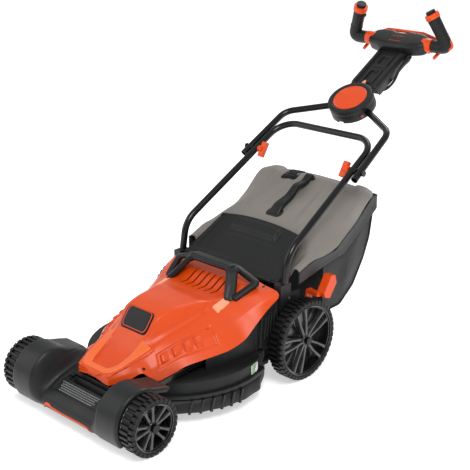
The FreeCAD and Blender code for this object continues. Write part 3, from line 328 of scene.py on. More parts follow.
ABS_ORANGE = MouldedPlastic("abs_orange", "#D94A0A", "#CF4207", 0.36, 0.9, 0.03, 70, 0.0, 1.42)
ABS_ORANGE_TRIM = MouldedPlastic("abs_orange_trim", "#DC4A0A", "#D04007", 0.34, 0.9, 0.03, 30, 0.0, 1.42)
# paler orange of the nose rim: a painted highlight on the hood's own orange plastic
RIM_ORANGE_PAINTED_HIGHLIGHT = MouldedPlastic("abs_orange_rim_painted_highlight", "#E8692E", "#E26228", 0.3, 0.9, 0.03, 40)
# pale orange: a painted highlight on the hood pads; also the stem pointer's colour
PALE_ORANGE_HIGHLIGHT_AND_POINTER = MouldedPlastic("abs_pale_orange_highlight_and_pointer", "#F0A27C", "#E89870", 0.45, 0.9, 0.03, 30)
PP_BLACK = MouldedPlastic("pp_black", "#161718", "#111213", 0.5, 1.0, 0.10, 80, 0.0, 1.38, "#3A3B3C")
PP_SATIN = MouldedPlastic("pp_satin_black", "#18191A", "#131415", 0.42, 0.8, 0.05, 90, 0.0, 1.38)
NYLON_BLACK = MouldedPlastic("nylon_black", "#141516", "#101112", 0.42, 0.9, 0.06, 60, 0.0, 1.38, "#38393A")
GLOSS_BLACK = MouldedPlastic("abs_gloss_black", "#0C0D0E", "#090A0B", 0.3, 1.2, 0.02, 50, 0.0, 1.33)
RUBBER_GRIP = MouldedPlastic("tpr_grip_black", "#131415", "#0F1011", 0.52, 0.8, 0.08, 40, 0.0, 1.38)
RUBBER_CORD = MouldedPlastic("rubber_cord_black", "#141516", "#101111", 0.5, 0.8, 0.03, 30, 0.0, 1.38)
TYRE_BLACK = MouldedPlastic("tyre_black", "#08090A", "#060707", 0.42, 1.0, 0.10, 40, 0.0, 1.34, "#3A3B3C")
RIM_GLOSS = MouldedPlastic("rim_gloss_black", "#0C0D0E", "#08090A", 0.2, 1.0, 0.03, 40, 0.3, 1.5, "#505152")
LID_GREY = MouldedPlastic("pp_warm_grey", "#7C7771", "#76716B", 0.5, 0.9, 0.06, 120, 0.0, 1.49)
RIM_GREY = MouldedPlastic("pp_dark_grey", "#262627", "#202021", 0.5, 0.9, 0.08, 80, 0.0, 1.49)
GRIP_DOT = MouldedPlastic("grip_dot_grey", "#A9ABAC", "#9A9C9D", 0.5, 0.9, 0.03, 20)
SCALE_PALE = MouldedPlastic("scale_pale", "#D8DECF", "#CCD4C2", 0.4, 1.0, 0.02, 20, 0.1)
SCALE_GREEN = MouldedPlastic("scale_green", "#5E8F63", "#548458", 0.4, 1.0, 0.02, 20, 0.1)
BUTTON_RED = MouldedPlastic("button_dark_red", "#8A2A1C", "#7A2014", 0.35, 0.9, 0.03, 10, 0.1)
# near-black for screw wells, the grab-slot pocket and the sheet under the vents: painted shade
SHADOW_BLACK = MouldedPlastic("painted_shade_black", "#0B0B0C", "#080809", 0.7, 1.0, 0.05, 40)
TUBE_BLACK = CoatedSteel("powder_coat_gloss_black", "#060708")
BLADE_COAT = CoatedSteel("blade_coat_black", "#1A1B1C", 0.4)
STEEL = BareMetal("ground_steel", "#B4B6B8", 0.3)
ZINC = BareMetal("zinc_plated_steel", "#A8AAAC", 0.35, 1.2, (1.0, 1.0, 1.0))
CAST_ALLOY = BareMetal("cast_aluminium", "#B8BABC", 0.5, 1.6, (1.0, 1.0, 1.0))
BAG_NET = WovenMesh("woven_polyester_black", "#1E1F20", "#070708")


@dataclass
class Wardrobe:
    """The finishes already built, so each is made once."""

    made: dict[str, bpy.types.Material] = field(default_factory=dict)

    def get(self, finish: Any) -> bpy.types.Material:
        """Material of a finish, built at its first use."""
        if finish.name not in self.made:
            self.made[finish.name] = finish.build()
        return self.made[finish.name]


WARDROBE = Wardrobe()


# ---------------------------------------------------------------- meshes
@dataclass
class Site:
    """Where the front axle line is in the frame."""

    axle_y: float = 0.0

    def find(self) -> None:
        """Read the front axle's place from the front tyre."""
        low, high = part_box("front_right_tyre")
        self.axle_y = (low.y + high.y) / 2

    def points(self, coords: Sequence | np.ndarray) -> np.ndarray:
        """Millimetres from the front axle to metres in the frame.

        Args:
            coords: points as rows of three.

        Returns:
            The same points in metres.
        """
        made = np.asarray(coords, float) * MM
        made[..., 1] += self.axle_y
        return made


SITE = Site()


def on_handle(coords: Sequence | np.ndarray) -> np.ndarray:
    """Handle coordinates to millimetres from the front axle.

    Args:
        coords: rows of (across, along the stem, above the stem).

    Returns:
        Rows of x, y, z.
    """
    c = np.asarray(coords, float)
    cos, sin = math.cos(HANDLE_SLOPE), math.sin(HANDLE_SLOPE)
    return np.stack([HUB_CENTRE[0] + c[..., 0],
                     HUB_CENTRE[1] + c[..., 1] * cos - c[..., 2] * sin,
                     HUB_CENTRE[2] + c[..., 1] * sin + c[..., 2] * cos], -1)


def ease(value: float | np.ndarray, low: float, high: float) -> np.ndarray:
    """Smooth step from 0 at low to 1 at high."""
    t = np.clip((np.asarray(value, float) - low) / (high - low), 0, 1)
    return t * t * (3 - 2 * t)


def new_object(name: str, verts: np.ndarray, faces: list, smooth_deg: float = 40.0) -> bpy.types.Object:
    """Make a mesh object from points in metres.

    Args:
        name: the piece's name.
        verts: points.
        faces: lists of point numbers.
        smooth_deg: edges sharper than this stay crisp.

    Returns:
        The object, linked to the scene.
    """
    mesh = bpy.data.meshes.new(name)
    mesh.from_pydata([tuple(v) for v in verts], [], faces)
    mesh.update()
    mesh.shade_smooth()
    mesh.set_sharp_from_angle(angle=math.radians(smooth_deg))
    made = bpy.data.objects.new(name, mesh)
    bpy.context.scene.collection.objects.link(made)
    return made


def sheet_faces(rows: int, columns: int, wrap_rows: bool = False, wrap_columns: bool = False) -> list:
    """Quads of a grid of points.

    Args:
        rows: number of rows.
        columns: points in a row.
        wrap_rows: join the last row to the first.
        wrap_columns: join a row's last point to its first.

    Returns:
        Faces as lists of four point numbers.
    """
    faces = []
    for i in range(rows if wrap_rows else rows - 1):
        for j in range(columns if wrap_columns else columns - 1):
            a, b = i * columns + j, i * columns + (j + 1) % columns
            c, d = ((i + 1) % rows) * columns + (j + 1) % columns, ((i + 1) % rows) * columns + j
            faces.append([a, b, c, d])
    return faces


def grid_object(name: str, grid: np.ndarray, wrap_rows: bool = False, wrap_columns: bool = False,
                caps: bool = False, smooth_deg: float = 40.0) -> bpy.types.Object:
    """Object from a grid of points in millimetres.

    Args:
        name: the piece's name.
        grid: array of rows by columns by three.
        wrap_rows: join the last row to the first.
        wrap_columns: join each row's ends.
        caps: close the first and last row with a face each.
        smooth_deg: edges sharper than this stay crisp.

    Returns:
        The object.
    """
    rows, columns = grid.shape[:2]
    faces = sheet_faces(rows, columns, wrap_rows, wrap_columns)
    if caps:
        faces.append(list(range(columns))[::-1])
        faces.append([(rows - 1) * columns + j for j in range(columns)])
    return new_object(name, SITE.points(grid.reshape(-1, 3)), faces, smooth_deg)


def tidy_normals(piece: bpy.types.Object) -> None:
    """Turn every face of a closed piece outwards.

    Args:
        piece: a closed piece.
    """
    work = bmesh.new()
    work.from_mesh(piece.data)
    bmesh.ops.recalc_face_normals(work, faces=work.faces)
    work.to_mesh(piece.data)
    work.free()


def soften(piece: bpy.types.Object, width_mm: float, segments: int = 3, angle_deg: float = 35.0) -> None:
    """Round the corners of a hard-edged piece with modifiers.

    Args:
        piece: the hard-edged piece.
        width_mm: width of the rounding.
        segments: steps in the rounding.
        angle_deg: edges sharper than this are rounded.
    """
    weld = piece.modifiers.new("joined", "WELD")
    weld.merge_threshold = 0.02 * MM
    bevel = piece.modifiers.new("rounded", "BEVEL")
    bevel.width = width_mm * MM
    bevel.segments = segments
    bevel.limit_method = "ANGLE"
    bevel.angle_limit = math.radians(angle_deg)
    bevel.harden_normals = True


def thicken(piece: bpy.types.Object, wall_mm: float) -> None:
    """Give a sheet its wall thickness, inwards.

    Args:
        piece: the sheet.
        wall_mm: wall thickness; negative builds outwards.
    """
    wall = piece.modifiers.new("wall", "SOLIDIFY")
    wall.thickness = wall_mm * MM
    wall.offset = -1.0
    wall.use_rim = True


def settle(piece: bpy.types.Object) -> None:
    """Apply a piece's modifiers to its mesh.

    Args:
        piece: the piece whose modifiers are applied.
    """
    graph = bpy.context.evaluated_depsgraph_get()
    mesh = bpy.data.meshes.new_from_object(piece.evaluated_get(graph))
    piece.modifiers.clear()
    piece.data = mesh


def carve(piece: bpy.types.Object, cutter: bpy.types.Object) -> None:
    """Cut one piece with another, which is then removed.

    Args:
        piece: the piece to cut.
        cutter: the tool, removed afterwards.
    """
    tidy_normals(cutter)
    hole = piece.modifiers.new("hole", "BOOLEAN")
    hole.operation = "DIFFERENCE"
    hole.solver = "EXACT"
    hole.object = cutter
    settle(piece)
    bpy.data.objects.remove(cutter)


def join(name: str, parts: list[bpy.types.Object]) -> bpy.types.Object:
    """Put several objects' meshes in one.

    Args:
        name: the new piece's name.
        parts: the objects, which are removed; their materials are kept.

    Returns:
        The joined object.
    """
    materials: list = []
    work = bmesh.new()
    for part in parts:
        shift = len(materials)
        materials += list(part.data.materials) or [None]
        before = len(work.faces)
        graph = bpy.context.evaluated_depsgraph_get()
        mesh = bpy.data.meshes.new_from_object(part.evaluated_get(graph))
        work.from_mesh(mesh)
        work.faces.ensure_lookup_table()
        for f in work.faces[before:]:
            f.material_index += shift
        bpy.data.meshes.remove(mesh)
        bpy.data.objects.remove(part)
    made = bpy.data.meshes.new(name)
    work.to_mesh(made)
    work.free()
    for mat in materials:
        made.materials.append(mat)
    piece = bpy.data.objects.new(name, made)
    bpy.context.scene.collection.objects.link(piece)
    return piece


def dress(piece: bpy.types.Object, finish: Any) -> None:
    """Give a piece its finish.

    Args:
        piece: the finished piece.
        finish: one of the finishes.
    """
    piece.data.materials.clear()
    piece.data.materials.append(WARDROBE.get(finish))


def mount(piece: bpy.types.Object, body: str, *stands_for: str) -> bpy.types.Object:
    """Let a piece ride on a body and stand for CAD nodes.

    Args:
        piece: the finished piece.
        body: the body it moves with.
        stands_for: CAD nodes it replaces.

    Returns:
        The piece.
    """
    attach(piece, body)
    if stands_for:
        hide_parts(*stands_for)
    LOG.info("%s: %d points on %s", piece.name, len(piece.data.vertices) if piece.type == "MESH" else 0, body)
    return piece


def smooth_table(rows: list, at: np.ndarray) -> np.ndarray:
    """Interpolate a table with no overshoot.

    Args:
        rows: (position, value, value...) rows in rising position.
        at: positions wanted.

    Returns:
        One row of values for each position.
    """
    table = np.array(rows, float)
    x, y = table[:, 0], table[:, 1:]
    h = np.diff(x)
    d = np.diff(y, axis=0) / h[:, None]
    m = np.zeros_like(y)
    m[0], m[-1] = d[0], d[-1]
    for i in range(1, len(x) - 1):
        same = d[i - 1] * d[i] > 0
        w1, w2 = 2 * h[i] + h[i - 1], h[i] + 2 * h[i - 1]
        before, after = np.where(same, d[i - 1], 1), np.where(same, d[i], 1)
        m[i] = np.where(same, (w1 + w2) / (w1 / before + w2 / after), 0)
    at = np.clip(at, x[0], x[-1])
    k = np.clip(np.searchsorted(x, at) - 1, 0, len(x) - 2)
    t = ((at - x[k]) / h[k])[:, None]
    hk = h[k][:, None]
    return (y[k] * (1 + 2 * t) * (1 - t) ** 2 + m[k] * hk * t * (1 - t) ** 2
            + y[k + 1] * t * t * (3 - 2 * t) + m[k + 1] * hk * t * t * (t - 1))


def soft_polyline(points: np.ndarray, count: int, round_mm: float) -> np.ndarray:
    """Evenly spaced points along a polyline, with its corners rounded.

    Args:
        points: the polyline.
        count: points wanted.
        round_mm: how far each corner is rounded.

    Returns:
        The points.
    """
    p = np.asarray(points, float)
    run = np.concatenate([[0], np.cumsum(np.linalg.norm(np.diff(p, axis=0), axis=1))])
    fine = np.linspace(0, run[-1], max(count * 2, 120))
    line = np.stack([np.interp(fine, run, p[:, k]) for k in range(p.shape[1])], -1)
    step = run[-1] / (len(fine) - 1)
    reach = max(1, int(round(round_mm / step)))
    if round_mm > 0:
        kernel = np.hanning(2 * reach + 3)[1:-1]
        kernel /= kernel.sum()
        before = 2 * line[0] - line[1:reach + 1][::-1]
        after = 2 * line[-1] - line[-reach - 1:-1][::-1]
        padded = np.concatenate([before, line, after])
        line = np.stack([np.convolve(padded[:, k], kernel, "valid") for k in range(p.shape[1])], -1)
    pick = np.linspace(0, len(line) - 1, count)
    return np.stack([np.interp(pick, np.arange(len(line)), line[:, k]) for k in range(p.shape[1])], -1)


def rounded_box(width: float, height: float, radius: float, steps: int = 5) -> np.ndarray:
    """Closed loop of a rectangle with round corners.

    Args:
        width: full width in millimetres.
        height: full height in millimetres.
        radius: corner radius in millimetres.
        steps: points in each corner.

    Returns:
        Points as rows of two.
    """
    radius = min(radius, width / 2 - 1e-3, height / 2 - 1e-3)
    loop = []
    for turn, (sx, sy) in enumerate(((1, 1), (-1, 1), (-1, -1), (1, -1))):
        for k in range(steps + 1):
            a = math.pi / 2 * (turn + k / steps)
            loop.append((sx * (width / 2 - radius) + radius * math.cos(a),
                         sy * (height / 2 - radius) + radius * math.sin(a)))
    return np.array(loop)


def sweep(name: str, path: Sequence | np.ndarray, loop: np.ndarray, up: Sequence[float] = (0, 0, 1),
          ends_mm: float = 3.0, step_mm: float = 3.0, corner_mm: float = 8.0,
          swell: Callable[[float], tuple] | None = None) -> bpy.types.Object:
    """Closed section carried along a path, with rounded ends.

    Args:
        name: the piece's name.
        path: points in millimetres.
        loop: closed section; first value across, second along up.
        up: direction that the section's height keeps to.
        ends_mm: length over which each end rounds off.
        step_mm: spacing along the path.
        corner_mm: how far the path's corners are rounded.
        swell: optional function of the share along the path giving (across, height) factors.

    Returns:
        The object.
    """
    path = np.asarray(path, float)
    length = np.linalg.norm(np.diff(path, axis=0), axis=1).sum()
    line = soft_polyline(path, max(6, int(length / step_mm)), corner_mm)
    run = np.concatenate([[0], np.cumsum(np.linalg.norm(np.diff(line, axis=0), axis=1))])
    cut = ends_mm * (1 - np.cos(np.linspace(0, math.pi / 2, 5)))
    stops = np.unique(np.concatenate([cut, run[(run > ends_mm) & (run < run[-1] - ends_mm)], run[-1] - cut]))
    line = np.stack([np.interp(stops, run, line[:, k]) for k in range(3)], -1)
    rows = []
    for i, (s, p) in enumerate(zip(stops, line)):
        ahead = line[min(i + 1, len(line) - 1)] - line[max(i - 1, 0)]
        ahead /= np.linalg.norm(ahead)
        side = np.cross(ahead, up)
        side /= np.linalg.norm(side)
        lift = np.cross(side, ahead)
        near = min(s, stops[-1] - s)
        drop = 1.0 if near >= ends_mm else math.sqrt(max(0.0, 1 - (1 - near / ends_mm) ** 2))
        size = np.array([1.0, 1.0]) if swell is None else np.array(swell(s / stops[-1]))
        extent = np.abs(loop).max(axis=0) * size
        factor = (extent - ends_mm * (1 - drop)).clip(0.05) / extent * size
        rows.append([p + side * a * factor[0] + lift * b * factor[1] for a, b in loop])
    piece = grid_object(name, np.array(rows), wrap_columns=True, caps=True)
    tidy_normals(piece)
    return piece


def both(maker: Callable, *args: Any, **kwargs: Any) -> list[bpy.types.Object]:
    """Make a piece and its mirror image across the centre plane.

    Args:
        maker: function that makes the right-hand piece.
        args: passed to the maker.
        kwargs: passed to the maker.

    Returns:
        The piece and its mirror image.
    """
    made = maker(*args, **kwargs)
    twin = made.copy()
    twin.data = made.data.copy()
    bpy.context.scene.collection.objects.link(twin)
    for v in twin.data.vertices:
        v.co.x = -v.co.x
    twin.data.flip_normals()
    return [made, twin]


def melt(piece: bpy.types.Object, voxel_mm: float, rounds: int = 4) -> None:
    """Run overlapping solids into one moulded body with soft inner corners.

    Args:
        piece: a joined piece of overlapping solids.
        voxel_mm: size of the remesh.
        rounds: smoothing passes.
    """
    remesh = piece.modifiers.new("one_body", "REMESH")
    remesh.mode = "VOXEL"
    remesh.voxel_size = voxel_mm * MM
    ease_out = piece.modifiers.new("eased", "SMOOTH")
    ease_out.factor = 0.5
    ease_out.iterations = rounds
    settle(piece)
    piece.data.shade_smooth()


# ---------------------------------------------------------------- motor hood
@dataclass
class MotorHood:
    """Orange motor hood: nose panel with raised rims, domed middle, vents and louvres."""

    stations: list = field(default_factory=lambda: [
        (22, 57, 104, 53, 126, 42, 129), (62, 84, 114, 66, 138, 48, 137),
        (88, 102, 128, 72, 147, 50, 148), (118, 122, 102, 77, 157, 50, 166),
        (141, 134, 110, 81, 166, 52, 183), (186, 156, 132, 89, 183, 62, 232),
        (243, 176, 140, 98, 197, 72, 241), (300, 190, 146, 106, 212, 84, 241),
        (345, 193, 156, 113, 222, 92, 236), (384, 194, 182, 124, 232, 98, 236),
        (430, 194, 212, 160, 246, 112, 258), (472, 194, 232, 186, 250, 120, 260)])
    step_y: float = 2.0
    side_points: int = 96
    wall: float = 2.6
    panel_depth: float = 5.0
    rim_rise: float = 3.2
    rim_end: float = 142.0
    louvre_depth: float = 3.4
    louvres: int = 4
    vents: int = 6
    crown: float = 3.0
    screw_holes: tuple = ((110, 97, 147), (127, 281, 186), (150, 462, 266))

    def profile(self, y: float, row: np.ndarray) -> np.ndarray:
        """Half section at y, from the lower edge to the centre line.

        Args:
            y: station.
            row: lower edge, shoulder and top points of that station.

        Returns:
            Points as rows of x and z.
        """
        xl, zl, xs, zs, xt, zt = row
        bulge = 2.0 + 3.0 * float(ease(y, 60, 200))
        dome = float(ease(y, 128, 190)) * (1 - float(ease(y, 300, 350)))
        nose = 1 - float(ease(y, 118, 150))
        middle = (xl * 0.52 + xs * 0.48 + bulge, zl * 0.48 + zs * 0.52 + bulge * 0.4)
        shelf = (xs - 9 - 2 * nose, zs + 1.0 + 2.5 * dome)
        valley = (xt + (xs - xt) * 0.34 + 2, zs + (zt - zs) * (0.30 - 0.10 * dome) + 1)
        brow = (xt - 4 + 2 * dome, zt - 2.0 * dome)
        points = [(xl, zl), middle, (xs, zs), shelf]
        if nose < 0.5:
            points += [valley]
        points += [(xt, zt - 3 * dome), (brow[0] - 8, zt + 1.2 * dome), (0, zt + self.crown * dome)]
        return np.array(points)

    def surface(self) -> tuple[np.ndarray, np.ndarray]:
        """Right half of the outer surface with its pressed features.

        Returns:
            The points, and how far each lies from the lower edge to the shoulder (0 to 1).
        """
        ys = np.arange(self.stations[0][0], self.stations[-1][0] + 0.1, self.step_y)
        rows = smooth_table(self.stations, ys)
        grid, share = [], []
        for y, row in zip(ys, rows):
            half = self.profile(y, row)
            line = soft_polyline(half, self.side_points, 5.0)
            line[0], line[-1, 0] = half[0], 0.0
            grid.append(np.column_stack([line[:, 0], np.full(len(line), y), line[:, 1]]))
            share.append(np.clip((line[:, 0] - row[2]) / (row[0] - row[2] + 1e-6), -1, 1))
        return np.array(grid), np.array(share)

    def normals(self, grid: np.ndarray) -> np.ndarray:
        """Outward normals of a grid of points.

        Args:
            grid: rows of points.

        Returns:
            One unit normal for each point.
        """
        along, across = np.gradient(grid, axis=0), np.gradient(grid, axis=1)
        made = np.cross(along, across)
        made /= np.linalg.norm(made, axis=-1, keepdims=True) + 1e-9
        flip = np.sign(made[..., 0] * 0.3 + made[..., 2])
        return made * np.where(flip == 0, 1, flip)[..., None]

    def press(self, grid: np.ndarray, share: np.ndarray) -> np.ndarray:
        """Press the panel, rims, louvres and pads into the surface.

        Args:
            grid: right half of the surface.
            share: 1 at the lower edge, 0 at the shoulder.

        Returns:
            The pressed points.
        """
        x, y = grid[..., 0], grid[..., 1]
        normal = self.normals(grid)
        half = np.interp(y, [40, 60, 100, 135], [26, 37, 45, 47])
        inside = (1 - ease(x, half - 1.5, half + 2.0)) * ease(y, 41, 45)
        sunk = inside * (1 - ease(y, 108, 138))
        lift = -self.panel_depth * sunk
        shoulder = self.shoulder(y)
        rim = ease(x, shoulder - 15, shoulder - 12.5) * (1 - ease(share, 0.06, 0.10))
        lift = lift + self.rim_rise * rim * (1 - ease(y, self.rim_end - 1.5, self.rim_end + 1.5))
        lift = lift + self.louvre_lift(y, share)
        pad = ease(x, 99, 100.5) * (1 - ease(x, 117, 118.5)) * ease(y, 329, 331) * (1 - ease(y, 366, 368))
        lift = lift + 3.0 * pad
        crease = np.exp(-((x - (96 - 0.25 * (y - 300))) / 3.0) ** 2)
        crease = crease * ease(y, 286, 300) * (1 - ease(y, 360, 372))
        lift = lift - 1.0 * crease
        return grid + normal * lift[..., None]

    def shoulder(self, y: np.ndarray) -> np.ndarray:
        """Shoulder line's distance from the centre plane at y."""
        return np.interp(y, [r[0] for r in self.stations], [r[3] for r in self.stations])

    def louvre_lift(self, y: np.ndarray, share: np.ndarray) -> np.ndarray:
        """Height of the louvre recess and its scoops over the side wall.

        Args:
            y: stations of the points.
            share: 1 at the lower edge, 0 at the shoulder.

        Returns:
            The lift in millimetres.
        """
        low = np.interp(y, [126, 290], [0.70, 0.80])
        high = np.interp(y, [126, 290], [0.24, 0.30])
        slant = (share - 0.5) * 22
        along = y + slant
        field_in = (ease(share, high - 0.03, high + 0.02) * (1 - ease(share, low - 0.02, low + 0.03))
                    * ease(along, 134, 138) * (1 - ease(along, 284, 288)))
        made = -self.louvre_depth * field_in
        inner = ease(share, high + 0.06, high + 0.12) * (1 - ease(share, low - 0.12, low - 0.06))
        for n in range(self.louvres):
            start = 143 + 29 * n
            scoop = ease(along, start, start + 4) * (1 - ease(along, start + 5, start + 23))
            made = made + 6.2 * scoop * inner
        return made

    def front_face(self, grid: np.ndarray) -> np.ndarray:
        """Rows that close the nose in front of the first section.

        Args:
            grid: right half of the hood.

        Returns:
            The rows, foremost first.
        """
        first = grid[0]
        centre = np.array([0, first[0, 1], (first[0, 2] + first[-1, 2]) / 2])
        rows = []
        for back, scale in ((-5.0, 0.30), (-4.6, 0.62), (-3.8, 0.84), (-1.8, 0.95)):
            row = centre + (first - centre) * scale
            row[:, 1] = first[0, 1] + back
            rows.append(row)
        return np.array(rows)

    def vent_cutter(self) -> bpy.types.Object:
        """Slanting slots that open the rear of the hood."""
        parts = []
        for n in range(self.vents):
            x = -55 + 22 * n
            work = bmesh.new()
            bmesh.ops.create_cube(work, size=1.0)
            bmesh.ops.scale(work, vec=(5.4 * MM, 70 * MM, 44 * MM), verts=work.verts)
            upright = [e for e in work.edges if abs((e.verts[0].co - e.verts[1].co).z) > 1e-4]
            bmesh.ops.bevel(work, geom=upright, offset=2.6 * MM, segments=3, affect="EDGES")
            turn = Matrix.Rotation(math.radians(-4), 4, "Z")
            place = Matrix.Translation(Vector(SITE.points([x, 399, 246])))
            bmesh.ops.transform(work, matrix=place @ turn, verts=work.verts)
            mesh = bpy.data.meshes.new("vent")
            work.to_mesh(mesh)
            work.free()
            part = bpy.data.objects.new("vent", mesh)
            bpy.context.scene.collection.objects.link(part)
            parts.append(part)
        return join("vents", parts)

    def build(self) -> None:
        """Build the hood, its screws and the badge, and dress them."""
        grid, share = self.surface()
        grid = self.press(grid, share)
        whole = np.concatenate([self.front_face(grid), grid])
        mirrored = whole[:, :-1][:, ::-1].copy()
        mirrored[..., 0] *= -1
        sheet = np.concatenate([whole, mirrored], axis=1)
        hood = grid_object("motor_hood_skin", sheet[:, ::-1], smooth_deg=38)
        fill = bmesh.new()
        fill.from_mesh(hood.data)
        fill.verts.ensure_lookup_table()
        fill.faces.new([fill.verts[j] for j in range(sheet.shape[1])][::-1])
        fill.to_mesh(hood.data)
        fill.free()
        thicken(hood, self.wall)
        settle(hood)
        carve(hood, self.vent_cutter())
        hood.data.set_sharp_from_angle(angle=math.radians(38))
        dress(hood, ABS_ORANGE)
        mount(hood, "deck", "motor_hood")
        self.screws(grid)
        self.vent_floor()
        self.badge(grid)
        self.pads(grid)
        self.nose_rim(grid)

    def screws(self, grid: np.ndarray) -> None:
        """Screw wells on both sides of the hood, black as painted shade.

        Args:
            grid: right half of the hood.
        """
        parts = []
        flat = grid.reshape(-1, 3)
        normal = self.normals(grid).reshape(-1, 3)
        for spot in self.screw_holes:
            near = int(np.argmin(np.linalg.norm(flat - np.array(spot), axis=1)))
            for side in (1, -1):
                centre, out = flat[near].copy(), normal[near].copy()
                centre[0] *= side
                out[0] *= side
                parts.append(disc_well(centre, out, 4.2))
        wells = join("hood_screw_wells", parts)
        # the black of the screw discs is painted shade in the wells
        dress(wells, SHADOW_BLACK)
        mount(wells, "deck")

    def badge(self, grid: np.ndarray) -> None:
        """Plain rounded badge with a thin orange frame, following the dome.

        Args:
            grid: right half of the hood.
        """
        outline = rounded_box(96, 38, 11, 8)
        centre = (1.5, 165)
        plate = plate_on("hood_badge_plate", grid, outline, centre,
                         [(1.0, -3.0), (1.0, 1.6), (0.975, 2.6), (0.90, 2.8), (0.6, 2.9), (0.3, 2.9),
                          (0.02, 2.9)])
        dress(plate, GLOSS_BLACK)
        mount(plate, "deck", "hood_badge")
        rim = plate_on("hood_badge_frame", grid, outline, centre,
                       [(0.90, 2.6), (0.895, 3.4), (0.855, 3.5), (0.85, 2.7)])
        rim.data.polygons.foreach_set("use_smooth", [True] * len(rim.data.polygons))
        work = bmesh.new()
        work.from_mesh(rim.data)
        work.faces.ensure_lookup_table()
        bmesh.ops.delete(work, geom=[f for f in work.faces if len(f.verts) > 4], context="FACES")
        work.to_mesh(rim.data)
        work.free()
        dress(rim, ABS_ORANGE_TRIM)
        mount(rim, "deck")

    def nose_rim(self, grid: np.ndarray) -> None:
        """Raised rim round three sides of the nose panel, its paler orange a painted highlight.

        Args:
            grid: right half of the hood.
        """
        ys = np.linspace(139, 44, 30)
        half = np.interp(ys, [40, 60, 100, 135], [26, 37, 45, 47]) + 2.0
        outer_x = self.shoulder(ys) - 2.5
        outer = [(x, y) for x, y in zip(outer_x, ys)] + [(50, 29), (44, 24.5)]
        outer += [(-x, y) for x, y in outer[::-1]]
        inner = [(x, y) for x, y in zip(half, ys)] + [(27.5, 43.5), (22, 41.5)]
        inner += [(-x, y) for x, y in inner[::-1]]
        a = soft_polyline(np.array(outer), 180, 3.0)
        b = soft_polyline(np.array(inner), 180, 3.0)
        rows = []
        for share, rise in ((0.0, -1.5), (0.02, 0.5), (0.09, 1.3), (0.3, 1.5), (0.7, 1.5), (0.91, 1.3),
                            (0.98, 0.5), (1.0, -1.5)):
            flat = a * (1 - share) + b * share
            rows.append(np.column_stack([flat, surface_height(grid, flat[:, 0], flat[:, 1]) + rise]))
        rim = grid_object("hood_nose_rim", np.array(rows), smooth_deg=50)
        # the paler orange of the rim is a painted highlight
        dress(rim, RIM_ORANGE_PAINTED_HIGHLIGHT)
        mount(rim, "deck")

    def pads(self, grid: np.ndarray) -> None:
        """Raised pads on the hood in front of the carry handle's feet, drawn pale orange as a painted
        highlight.

        Args:
            grid: right half of the hood.
        """
        parts = []
        for side in (1, -1):
            outline = rounded_box(20, 44, 4, 4)
            parts.append(plate_on("pad", grid, outline, (side * 109, 350),
                                  [(1.0, -2.0), (1.0, 1.6), (0.94, 2.2), (0.5, 2.6), (0.05, 2.6)]))
        pads = join("hood_pads_painted_highlight", parts)
        # the pads' pale orange is a painted highlight
        dress(pads, PALE_ORANGE_HIGHLIGHT_AND_POINTER)
        mount(pads, "deck")

    def vent_floor(self) -> None:
        """Black sheet under the vents, painted shade for the dark inside of the hood."""
        ys, xs = np.linspace(370, 436, 8), np.linspace(-72, 72, 9)
        grid = np.array([[(x, y, np.interp(y, [370, 436], [222, 248]) - 3) for x in xs] for y in ys])
        floor = grid_object("vent_shade_sheet", grid)
        thicken(floor, 1.5)
        # black here is painted shade under the vents
        dress(floor, SHADOW_BLACK)
        mount(floor, "deck")


def disc_well(centre: np.ndarray, out: np.ndarray, radius: float) -> bpy.types.Object:
    """Small countersunk screw head lying on a surface.

    Args:
        centre: its middle, millimetres.
        out: outward direction.
        radius: radius in millimetres.

    Returns:
        The object.
    """
    out = Vector(out).normalized()
    turn = out.to_track_quat("Z", "Y").to_matrix()
    rows = []
    for r, z in ((radius, 0.35), (radius * 0.86, 0.5), (radius * 0.8, 0.1), (radius * 0.4, 0.1)):
        ring = []
        for k in range(20):
            a = 2 * math.pi * k / 20
            ring.append(Vector(centre) + turn @ Vector((r * math.cos(a), r * math.sin(a), z)))
        rows.append(ring)
    grid = np.array([[tuple(p) for p in ring] for ring in rows])
    part = grid_object("well", grid, wrap_columns=True)
    work = bmesh.new()
    work.from_mesh(part.data)
    work.verts.ensure_lookup_table()
    work.faces.new([work.verts[60 + j] for j in range(20)])
    work.to_mesh(part.data)
    work.free()
    return part


# ---------------------------------------------------------------- wheels
class Axle(Enum):
    """The two wheel sizes: tyre radius, distance behind the front axle, lugs and spoke spread."""

    FRONT = ("front", 72.0, 0.0, 30, 13.0)
    REAR = ("rear", 108.0, 534.0, 44, 9.5)


def lathe(name: str, profile: list, centre: tuple, steps: int = 72, smooth_deg: float = 40.0,
          closed: bool = True) -> bpy.types.Object:
    """Turn a profile about an axis along X.

    Args:
        name: piece name.
        profile: (x, radius) points in millimetres.
        centre: (y, z) of the axis.
        steps: points round the circle.
        smooth_deg: edges sharper than this stay crisp.
        closed: join the profile's ends.

    Returns:
        The object.
    """
    a = np.linspace(0, 2 * math.pi, steps, endpoint=False)
    p = np.array(profile, float)
    grid = np.stack([np.broadcast_to(p[:, 0], (steps, len(p))),
                     centre[0] + np.outer(np.cos(a), p[:, 1]),
                     centre[1] + np.outer(np.sin(a), p[:, 1])], -1)
    made = grid_object(name, grid, True, closed, smooth_deg=smooth_deg)
    tidy_normals(made)
    return made


def bar_between(name: str, ends: list, section: list, across: tuple) -> bpy.types.Object:
    """Straight bar whose section may change along it.

    Args:
        name: piece name.
        ends: points along the bar.
        section: one list of (side, depth) points for each end.
        across: direction of the section's depth.

    Returns:
        The object.
    """
    pts = np.array(ends, float)
    run = pts[-1] - pts[0]
    run /= np.linalg.norm(run)
    deep = np.array(across, float)
    side = np.cross(deep, run)
    rows = [p + np.array([s * side + d * deep for s, d in sec]) for p, sec in zip(pts, section)]
    made = grid_object(name, np.array(rows), False, True, caps=True, smooth_deg=25)
    tidy_normals(made)
    return made


